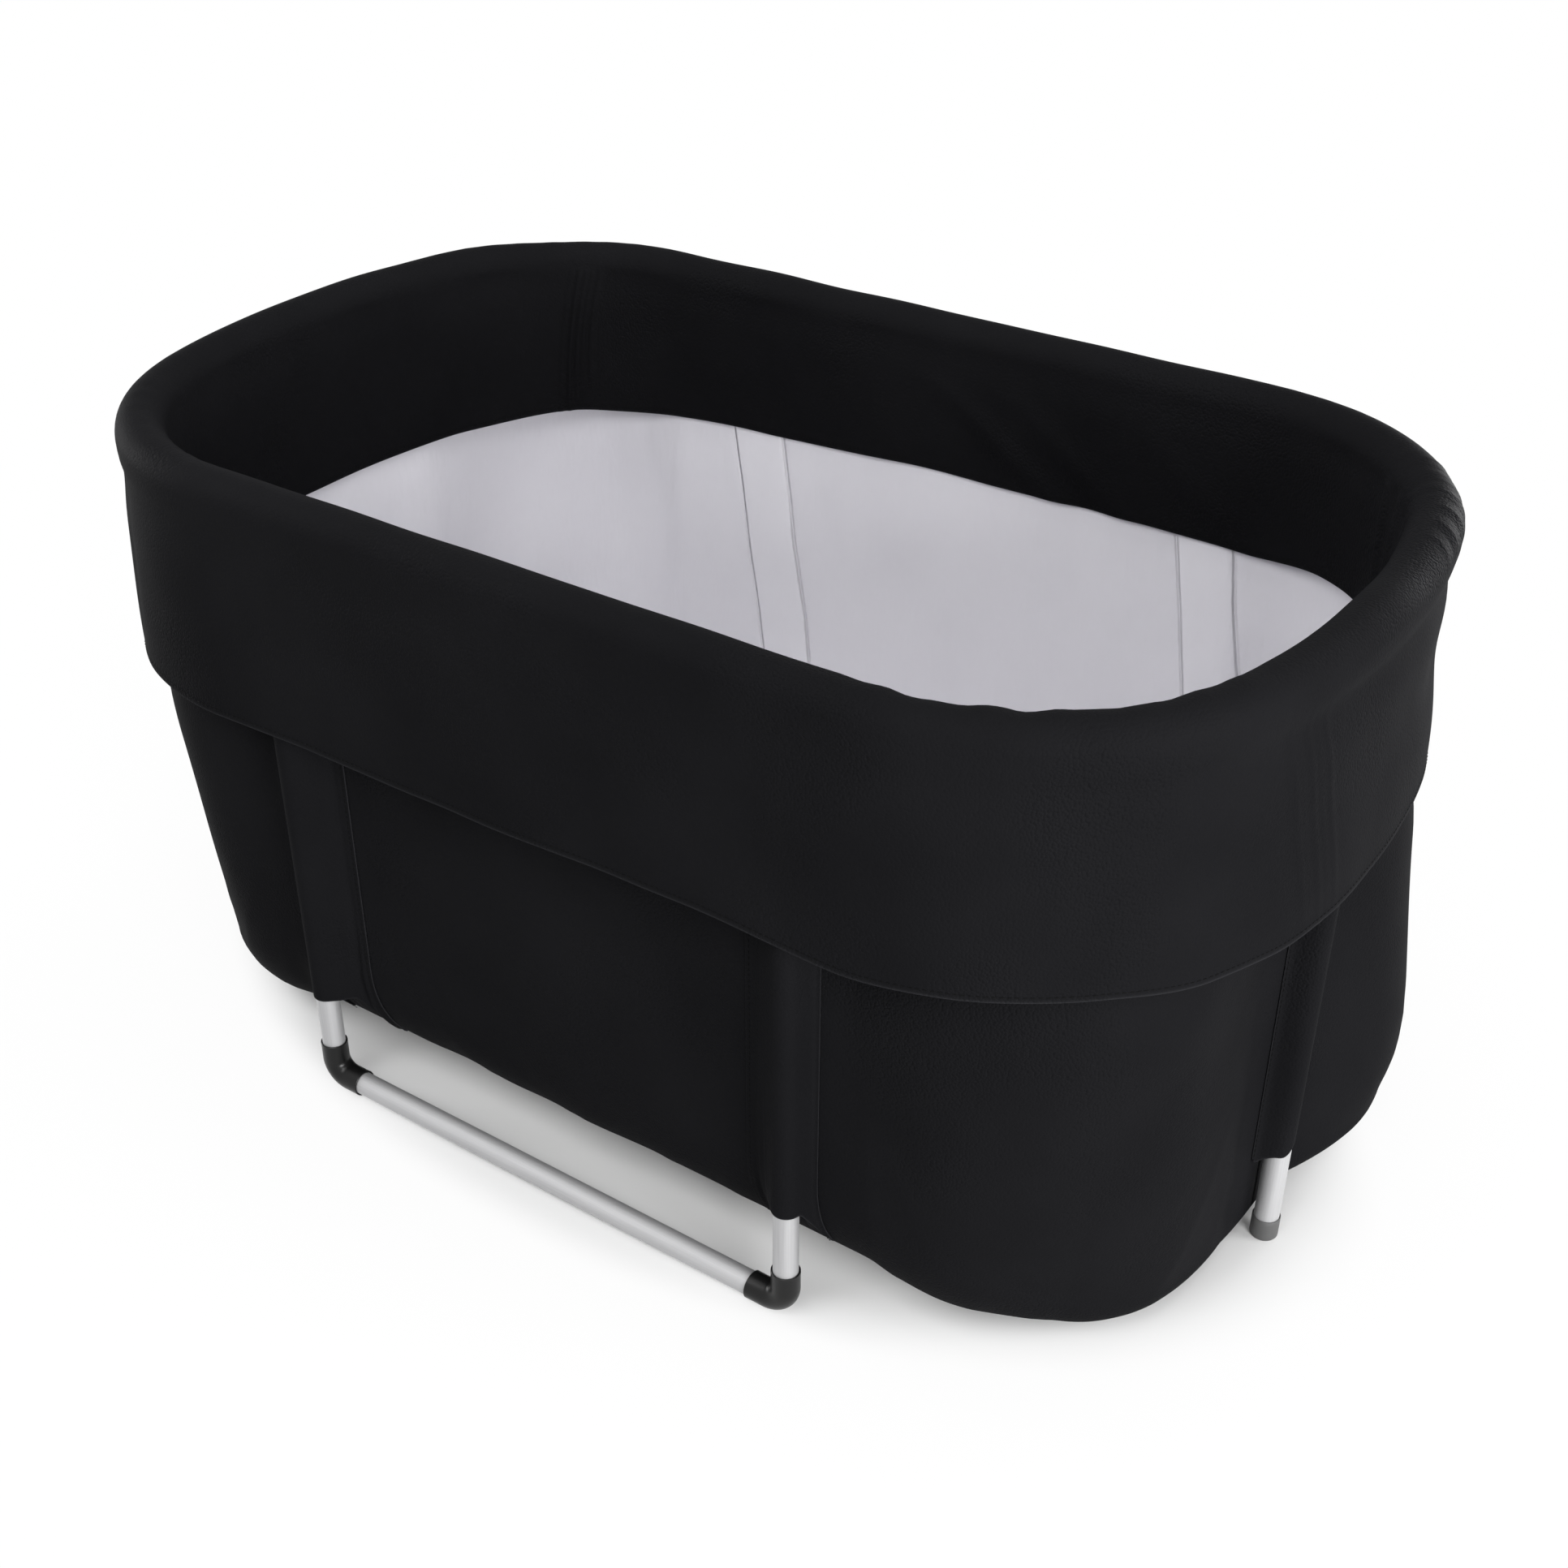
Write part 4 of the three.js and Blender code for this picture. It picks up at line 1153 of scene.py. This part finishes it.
def sleeve_folds(across, heights, before, after):
    """Long soft folds that run down the wide, slack side of the strip."""
    slack_side = np.where(across > 0, after, before) > SEWN_NARROW
    reach = np.abs(across)
    loose = ramp(reach, 0.022, 0.032) * ramp(reach - SEWN_WIDE, -0.003, -0.011)
    wander = 0.0035 * np.sin(heights * 8 + before * 60) + 0.0015 * np.sin(heights * 21)
    waves = np.sin((reach + wander) * 2 * math.pi / FOLD_PITCH)
    strength = 0.5 + 0.4 * np.sin(heights * 11 + 1.0)
    return FOLD_HEIGHT * loose * slack_side * (0.9 + strength * waves)


print("sleeves planned:", len(SLEEVES))

# %% Sew the sleeves on
sleeve_grids = {}
for place, (leg, (_, _, mouth, _)) in enumerate(SLEEVES.items()):
    grid = sleeve_grid(leg)
    sleeve_grids[leg] = grid
    sleeve = cloth(f"sleeve_{leg}", grid, SLEEVE_THICKNESS, coated_fabric, False)
    length = SLEEVE_TOP - mouth
    join(sleeve, TOP, f"leg_sleeve_{leg}")
    round(grid_area(grid, False) / length, 3)
    f"bag_panel_{bay_names[place - 1]}"
    print("sleeve", leg, grid.shape[:2], "points")

# %% [markdown]
# ## Stitches
# Every hem and sleeve edge is sewn with black thread. A stitch repeats hundreds of
# times along a line, which is what Geometry Nodes are good at: the seam line is
# resampled at the stitch pitch, a small capsule is put on each point and turned along
# the line, and the whole row is made real and given the thread's finish.

# %% Build the stitching tree
STITCH_PITCH = 0.0062
STITCH_LENGTH = 0.0044
STITCH_RADIUS = 0.00042


def stitching_tree():
    group = bpy.data.node_groups.new("stitch_rows", "GeometryNodeTree")
    sockets = {"Seam": "Geometry", "Pitch": "Float", "Length": "Float", "Radius": "Float"}
    for name, kind in sockets.items():
        group.interface.new_socket(
            name=name, in_out="INPUT", socket_type=f"NodeSocket{kind}")
    group.interface.new_socket(
        name="Stitches", in_out="OUTPUT", socket_type="NodeSocketGeometry")
    rows = Tree(group)
    seam, pitch, length, radius = (rows.node("NodeGroupInput", output=name) for name in sockets)
    line = rows.node("GeometryNodeMeshToCurve", {"Mesh": seam})
    even = rows.node("GeometryNodeResampleCurve", {"Curve": line, "Length": pitch}, mode="LENGTH")
    tangent = rows.node("GeometryNodeInputTangent")
    turn = rows.node("FunctionNodeAlignRotationToVector", {"Vector": tangent}, axis="Z")
    capsule = rows.node("GeometryNodeMeshUVSphere", {"Segments": 6, "Rings": 4, "Radius": 0.5})
    size = rows.node("ShaderNodeCombineXYZ", {"X": radius, "Y": radius, "Z": length})
    stitches = rows.node("GeometryNodeInstanceOnPoints", {
        "Points": even, "Instance": capsule, "Rotation": turn, "Scale": size})
    real = rows.node("GeometryNodeRealizeInstances", {"Geometry": stitches})
    sewn = rows.node("GeometryNodeSetMaterial", {"Geometry": real, "Material": thread})
    rows.node("NodeGroupOutput", {"Stitches": sewn})
    return group


stitch_rows = stitching_tree()


def sew(name, lines, closed):
    """One piece with a row of stitches along every line of points."""
    points, edges = [], []
    for line in lines:
        first = len(points)
        points += [tuple(p) for p in line]
        edges += [(first + i, first + i + 1) for i in range(len(line) - 1)]
        if closed:
            edges.append((len(points) - 1, first))
    seam_mesh = bpy.data.meshes.new(name + "_seam")
    seam_mesh.from_pydata(points, edges, [])
    seam = in_scene(name + "_seam", seam_mesh)
    rows = seam.modifiers.new("stitches", "NODES")
    rows.node_group = stitch_rows
    sizes = {"Pitch": STITCH_PITCH, "Length": STITCH_LENGTH, "Radius": 2 * STITCH_RADIUS}
    for socket in stitch_rows.interface.items_tree:
        if socket.name in sizes:
            rows[socket.identifier] = sizes[socket.name]
    evaluated = seam.evaluated_get(bpy.context.evaluated_depsgraph_get())
    mesh = bpy.data.meshes.new_from_object(evaluated)
    mesh.polygons.foreach_set("use_smooth", [True] * len(mesh.polygons))
    made = in_scene(name, mesh)
    bpy.data.objects.remove(seam)
    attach(made, TOP)
    print(name, len(mesh.polygons), "faces")


# %% Sew the hems and the sleeves
THREAD_LIFT = 0.00015
HEM_SEAM = HEM_RAMP[1]


def hem_line(grid, end, inset):
    """Points at a set distance up the cloth from its edge."""
    face = grid + grid_normals(grid, True) * THREAD_LIFT
    rows = face if end == 0 else face[:, ::-1]
    steps = np.linalg.norm(np.diff(rows, axis=1), axis=-1)
    travelled = np.concatenate([np.zeros((len(rows), 1)), np.cumsum(steps, 1)], 1)
    return np.array([
        [np.interp(inset, distances, row[:, axis]) for axis in range(3)]
        for distances, row in zip(travelled, rows)
    ])


sew("hem_stitches", [hem_line(cover_shape, end, HEM_SEAM) for end in (0, 1)], True)

SEAM_INSET = 0.004
sleeve_lines = []
for grid in sleeve_grids.values():
    face = grid + grid_normals(grid, False) * THREAD_LIFT
    for edge, nearby in ((0, 1), (-1, -2)):
        sleeve_lines.append(face[edge] + unit(face[nearby] - face[edge]) * SEAM_INSET)
sew("sleeve_stitches", sleeve_lines, False)

# %% [markdown]
# ## Tubes, elbows and feet
# The CAD tubes have twelve flat sides, which is enough for physics but shows in a
# picture. Each is turned again at its own length with a smooth wall and lightly
# broken edges. The elbow is one skin: down the inside of a socket, over its lip, along
# the outside round the bend, and back into the other socket.

# %% Turn the legs and rails
TUBE_WALL = 0.0015
TUBE_BREAK = 0.0003


def tube_profile(low, high):
    inner = TUBE_RADIUS - TUBE_WALL
    return [
        (inner, low + TUBE_BREAK), (inner + TUBE_BREAK, low), (TUBE_RADIUS - TUBE_BREAK, low),
        (TUBE_RADIUS, low + TUBE_BREAK), (TUBE_RADIUS, high - TUBE_BREAK),
        (TUBE_RADIUS - TUBE_BREAK, high), (inner + TUBE_BREAK, high), (inner, high - TUBE_BREAK),
    ]


LEG_BODIES = {
    "front_left": "front_frame", "front_right": "front_frame",
    "back_left": "back_frame", "back_right": "back_frame",
    "left_end": "left_leg", "right_end": "right_leg",
}
for leg, body in LEG_BODIES.items():
    low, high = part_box(f"leg_{leg}")
    tube = turned(f"tube_leg_{leg}", tube_profile(low[2], high[2]), aluminium_upright)
    put(tube, Matrix.Translation(((low[0] + high[0]) / 2, (low[1] + high[1]) / 2, 0)))
    join(tube, body, f"leg_{leg}")

for side in ("front", "back"):
    low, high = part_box(f"base_rail_{side}")
    rail = turned(f"tube_rail_{side}", tube_profile(low[0], high[0]), aluminium_rail)
    middle = Matrix.Translation((0, (low[1] + high[1]) / 2, (low[2] + high[2]) / 2))
    put(rail, middle @ Matrix.Rotation(math.pi / 2, 4, "Y"))
    join(rail, f"{side}_frame", f"base_rail_{side}")
print("tubes turned")

# %% Shape the elbows
ELBOW_RADIUS = 0.0145
ELBOW_BORE = 0.0129
ELBOW_BEND = 0.020
ELBOW_LEG_REACH = 0.042
ELBOW_RAIL_REACH = 0.040
ELBOW_SEAT = 0.022
LIP = 0.0005
HALF_BEND = math.pi / 4 * ELBOW_BEND


def elbow_ring(distance_down, radius):
    """A ring round the elbow's middle line, at a distance from the middle of its bend."""
    turn = np.arange(ROUND_SIDES)[::-1, None] * 2 * math.pi / ROUND_SIDES
    past = abs(distance_down) - HALF_BEND
    if distance_down <= -HALF_BEND:
        centre, ahead = (0, 0, ELBOW_BEND + past), (0, 0, -1)
    elif distance_down >= HALF_BEND:
        centre, ahead = (ELBOW_BEND + past, 0, 0), (1, 0, 0)
    else:
        angle = (distance_down + HALF_BEND) / ELBOW_BEND
        centre = ELBOW_BEND * np.array([1 - math.cos(angle), 0, 1 - math.sin(angle)])
        ahead = (math.sin(angle), 0, -math.cos(angle))
    side = np.array([0, 1, 0])
    up = np.cross(ahead, side)
    return np.array(centre) + radius * (np.cos(turn) * side + np.sin(turn) * up)


def socket_run(reach):
    """One socket from its seat over its lip to the bend, as (distance, radius)."""
    mouth, seat = (length - ELBOW_BEND + HALF_BEND for length in (reach, ELBOW_SEAT))
    return [
        (seat, 0.0002), (seat, ELBOW_BORE), (mouth - LIP, ELBOW_BORE), (mouth, ELBOW_BORE + LIP),
        (mouth, ELBOW_RADIUS - LIP), (mouth - LIP, ELBOW_RADIUS),
        (mouth - 0.006, ELBOW_RADIUS - 0.0001),
    ]


def elbow_piece(name):
    run = [(-distance, radius) for distance, radius in socket_run(ELBOW_LEG_REACH)]
    run += [(distance, ELBOW_RADIUS) for distance in np.linspace(-HALF_BEND, HALF_BEND, 15)]
    run += socket_run(ELBOW_RAIL_REACH)[::-1]
    made = loft(name, np.stack([elbow_ring(*step) for step in run]), black_plastic)
    mend_skin(made)
    return made


for side, y in (("front", -HOOP_HALF_WIDTH), ("back", HOOP_HALF_WIDTH)):
    for hand, x, turn in (("left", -SIDE_LEG, 0), ("right", SIDE_LEG, math.pi)):
        elbow = elbow_piece(f"corner_fitting_{side}_{hand}")
        put(elbow, Matrix.Translation((x, y, ELBOW_RADIUS)) @ Matrix.Rotation(turn, 4, "Z"))
        join(elbow, f"{side}_frame", f"elbow_{side}_{hand}")
print("elbows shaped")

# %% Mould the rubber feet
FOOT_RADIUS = 0.014
FOOT_HEIGHT = 0.025
FOOT_BASE = 0.004
foot_profile = [
    (0, 0), (FOOT_RADIUS - 0.0022, 0), (FOOT_RADIUS - 0.0009, 0.0004),
    (FOOT_RADIUS - 0.0002, 0.0014), (FOOT_RADIUS, 0.0028), (FOOT_RADIUS, 0.0200),
    (FOOT_RADIUS, FOOT_HEIGHT - 0.0006),
    (FOOT_RADIUS - 0.0004, FOOT_HEIGHT), (ELBOW_BORE + 0.0003, FOOT_HEIGHT),
    (ELBOW_BORE, FOOT_HEIGHT - 0.0005), (ELBOW_BORE, FOOT_BASE), (0, FOOT_BASE),
]
for hand, x in (("left", -HOOP_HALF_LENGTH), ("right", HOOP_HALF_LENGTH)):
    foot = turned(f"rubber_foot_{hand}", foot_profile, grey_rubber)
    put(foot, Matrix.Translation((x, 0, 0)))
    join(foot, f"{hand}_leg", f"foot_cap_{hand}_end")
print("feet moulded")

# %% [markdown]
# ## The drain
# Low on the left end a flanged shank goes through liner, foam and fabric. Outside it
# are a rubber washer, a hexagonal nut with its corners chamfered, and a push-on cap
# with finger ribs. The cloth layers get a real hole, cut with a cylinder, so that the
# bore is open from inside.

# %% Make the drain
DRAIN_PLACE = Vector((-0.61709, 0.10960, 0.062))
DRAIN_TURN = math.atan2(0.13707, -0.99056)
drain_matrix = (
    Matrix.Translation(DRAIN_PLACE)
    @ Matrix.Rotation(DRAIN_TURN, 4, "Z")
    @ Matrix.Rotation(math.pi / 2, 4, "Y")
)
SHANK_RADIUS, SHANK_BORE, SHANK_OUT = 0.012, 0.009, 0.018
FLANGE_RADIUS, FLANGE_INSIDE, FLANGE_FACE = 0.020, -0.0279, -0.0249
WASHER_FACE, WASHER_RADIUS, WASHER_TOP = -0.0167, 0.018, -0.0147
NUT_FACE, NUT_TOP, NUT_CORNER, NUT_CHAMFER = -0.0144, -0.0064, 0.019, 0.0018
CAP_LOW, CAP_INSIDE, CAP_FACE, CAP_RADIUS = -0.0039, 0.0183, 0.0213, 0.0155
RIBS, RIB_DEPTH = 24, 0.0007
LOOSE_BORE = SHANK_RADIUS + 0.0004
SMALL, FINEST = 0.0005, 0.0004

flange = turned("drain_shank", [
    (SHANK_BORE, FLANGE_INSIDE + SMALL), (SHANK_BORE + SMALL, FLANGE_INSIDE),
    (FLANGE_RADIUS - 0.001, FLANGE_INSIDE), (FLANGE_RADIUS, FLANGE_INSIDE + 0.001),
    (FLANGE_RADIUS, FLANGE_FACE), (SHANK_RADIUS, FLANGE_FACE), (SHANK_RADIUS, SHANK_OUT - SMALL),
    (SHANK_RADIUS - SMALL, SHANK_OUT), (SHANK_BORE, SHANK_OUT),
], black_plastic)
washer = turned("drain_seal", [
    (LOOSE_BORE, WASHER_FACE), (WASHER_RADIUS - FINEST, WASHER_FACE),
    (WASHER_RADIUS, WASHER_FACE + FINEST), (WASHER_RADIUS, WASHER_TOP - FINEST),
    (WASHER_RADIUS - FINEST, WASHER_TOP), (LOOSE_BORE, WASHER_TOP),
], grey_rubber)


def nut_profile(angle):
    """A hexagon whose corners are chamfered at both ends."""
    flat = NUT_CORNER * math.cos(math.pi / 6)
    across = flat / math.cos((angle + math.pi / 6) % (math.pi / 3) - math.pi / 6)
    body, end = min(across, NUT_CORNER), min(across, NUT_CORNER - NUT_CHAMFER)
    return [
        (end, NUT_FACE), (body, NUT_FACE + 0.001), (body, NUT_TOP - 0.001), (end, NUT_TOP),
        (LOOSE_BORE, NUT_TOP), (LOOSE_BORE, NUT_FACE),
    ]


def cap_profile(angle):
    """The push-on cap's skirt, with finger ribs round its middle."""
    ribbed = CAP_RADIUS - RIB_DEPTH * (0.5 + 0.5 * math.cos(angle * RIBS))
    return [
        (CAP_RADIUS, CAP_LOW), (CAP_RADIUS, CAP_LOW + 0.003), (ribbed, CAP_LOW + 0.004),
        (ribbed, CAP_INSIDE - 0.001), (CAP_RADIUS, CAP_INSIDE + SMALL),
        (CAP_RADIUS, CAP_FACE - 0.0012), (LOOSE_BORE, CAP_FACE - 0.0012), (LOOSE_BORE, CAP_LOW),
    ]


nut = turned("drain_lock_nut", nut_profile, black_plastic, 96, 25)
cap = turned("drain_push_cap", cap_profile, black_plastic, 192, 25)
cap_end = turned("drain_cap_face", [
    (0, CAP_INSIDE), (CAP_RADIUS - 0.0002, CAP_INSIDE), (CAP_RADIUS - 0.0001, CAP_FACE - 0.0011),
    (CAP_RADIUS - 0.0008, CAP_FACE - 0.0003), (CAP_RADIUS - 0.0018, CAP_FACE), (0, CAP_FACE),
], black_plastic)
for piece, node, body, slot in (
    (flange, "drain_flange", TOP, "black_plastic"), (washer, "drain_washer", TOP, "grey_rubber"),
    (nut, "drain_nut", TOP, "black_plastic"), (cap, "drain_cap", "drain_cap", "black_plastic"),
    (cap_end, "drain_cap", "drain_cap", "black_plastic"),
):
    join(put(piece, drain_matrix), body, node)

# %% Cut the drain hole through the cloth layers
cutter_profile = [(0, -0.06), (LOOSE_BORE, -0.06), (LOOSE_BORE, 0.0), (0, 0.0)]
cutter = turned("drain_cutter", cutter_profile, black_plastic, 32)
put(cutter, drain_matrix)
for layer in (bag_panels["back_left"], bag_foam, liner_bag):
    hole = layer.modifiers.new("drain_hole", "BOOLEAN")
    hole.operation, hole.object, hole.solver = "DIFFERENCE", cutter, "EXACT"
    evaluated = layer.evaluated_get(bpy.context.evaluated_depsgraph_get())
    cut = bpy.data.meshes.new_from_object(evaluated)
    layer.modifiers.clear()
    before = len(layer.data.polygons)
    layer.data = cut
    print("hole in", layer.name, before, "to", len(cut.polygons), "faces")
bpy.data.objects.remove(cutter)

# %% [markdown]
# ## What stays from the CAD
# Inside the rim the hoop tubes, their foam and the three-way fittings stay as the CAD
# made them, and so do the two floor sheets under the liner. They are hidden, but they
# get their own finishes all the same.

# %% Finish the CAD pieces that stay
hidden_finishes = {
    "hoop_tube": aluminium_rail, "hoop_foam": black_foam, "tee_": black_plastic,
    "floor_panel": coated_fabric, "floor_insulation": white_foam,
}
dressed = 0
for node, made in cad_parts.items():
    for start, material in hidden_finishes.items():
        if node.startswith(start):
            target = made if hasattr(made, "data") else bpy.data.objects[node]
            target.data.materials.clear()
            target.data.materials.append(material)
            dressed += 1
print("CAD pieces dressed:", dressed)

# %% [markdown]
# ## Stage and light
# The tub stands on a seamless white floor. Under the tub the floor is a plain lit
# surface, which keeps the soft shadow. Just outside the tub's oval it turns into its
# own white, for the camera and for reflections only, so the picture's ground is white.
# Large soft lamps draw the sheen down the corners, as in a photographer's tent.

# %% Set the stage
FLOOR_HALF = 14
floor_mesh = bpy.data.meshes.new("studio_floor")
corners = [(x * FLOOR_HALF, y * FLOOR_HALF, 0) for x, y in ((-1, -1), (1, -1), (1, 1), (-1, 1))]
floor_mesh.from_pydata(corners, [], [(0, 1, 2, 3)])
studio_floor = in_scene("studio_floor", floor_mesh)

TUB_OVAL = (0.60, 1, 1)
SHADE_REACH = (0.365, 0.445)
HAZE_REACH = (0.40, 1.3)
FLOOR_GREY = 0.60
SKY_LIGHT = 0.15

white = Finish("studio_white")
lit = white.node("ShaderNodeBsdfDiffuse", {"Color": grey(FLOOR_GREY)})
own = white.node("ShaderNodeEmission", {"Color": grey(1), "Strength": 1.0})
reach = white.node("ShaderNodeVectorMath", {0: white.place(TUB_OVAL)}, 1, operation="LENGTH")
shade = white.step(reach, *SHADE_REACH, 0.02)
share = white.light_path() * shade * white.step(reach, *HAZE_REACH, 0.92)
mixed = white.node("ShaderNodeMixShader", {0: share, 1: lit, 2: own})
white.node("ShaderNodeOutputMaterial", {"Surface": mixed})
floor_mesh.materials.append(white.owner)

sky = Finish("studio_world", bpy.data.worlds.new("studio_world"))
bpy.context.scene.world = sky.owner
light, shown = (
    sky.node("ShaderNodeBackground", {"Color": grey(1), "Strength": strength})
    for strength in (SKY_LIGHT, 1.0)
)
mixed = sky.node("ShaderNodeMixShader", {0: sky.light_path(), 1: light, 2: shown})
sky.node("ShaderNodeOutputWorld", {"Surface": mixed})
print("floor and sky made")


# %% Hang the lamps
TUB_MIDDLE = Vector((0, 0, 0.4))
SIDE_LAMP = (1.4, 1.6)


def soft_lamp(name, place, size, power):
    lamp_data = bpy.data.lights.new(name, "AREA")
    lamp_data.shape = "RECTANGLE"
    lamp_data.size, lamp_data.size_y = size
    lamp_data.energy = power
    lamp = in_scene(name, lamp_data)
    lamp.location = place
    lamp.rotation_mode = "QUATERNION"
    lamp.rotation_quaternion = (TUB_MIDDLE - Vector(place)).to_track_quat("-Z", "Y")


soft_lamp("lamp_above", (-0.2, 0.3, 3.0), (2.6, 2.0), 66)
soft_lamp("lamp_front", (0.2, -1.9, 2.5), (2.2, 1.2), 57)
soft_lamp("lamp_right", (3.0, -1.7, 0.9), SIDE_LAMP, 168)
soft_lamp("lamp_right_back", (3.0, 0.8, 1.1), SIDE_LAMP, 64)
soft_lamp("lamp_left", (-3.2, -0.5, 1.0), SIDE_LAMP, 80)
soft_lamp("lamp_back", (0.9, 3.4, 0.6), SIDE_LAMP, 95)

bpy.context.scene.view_settings.view_transform = "Standard"
print("stage set")
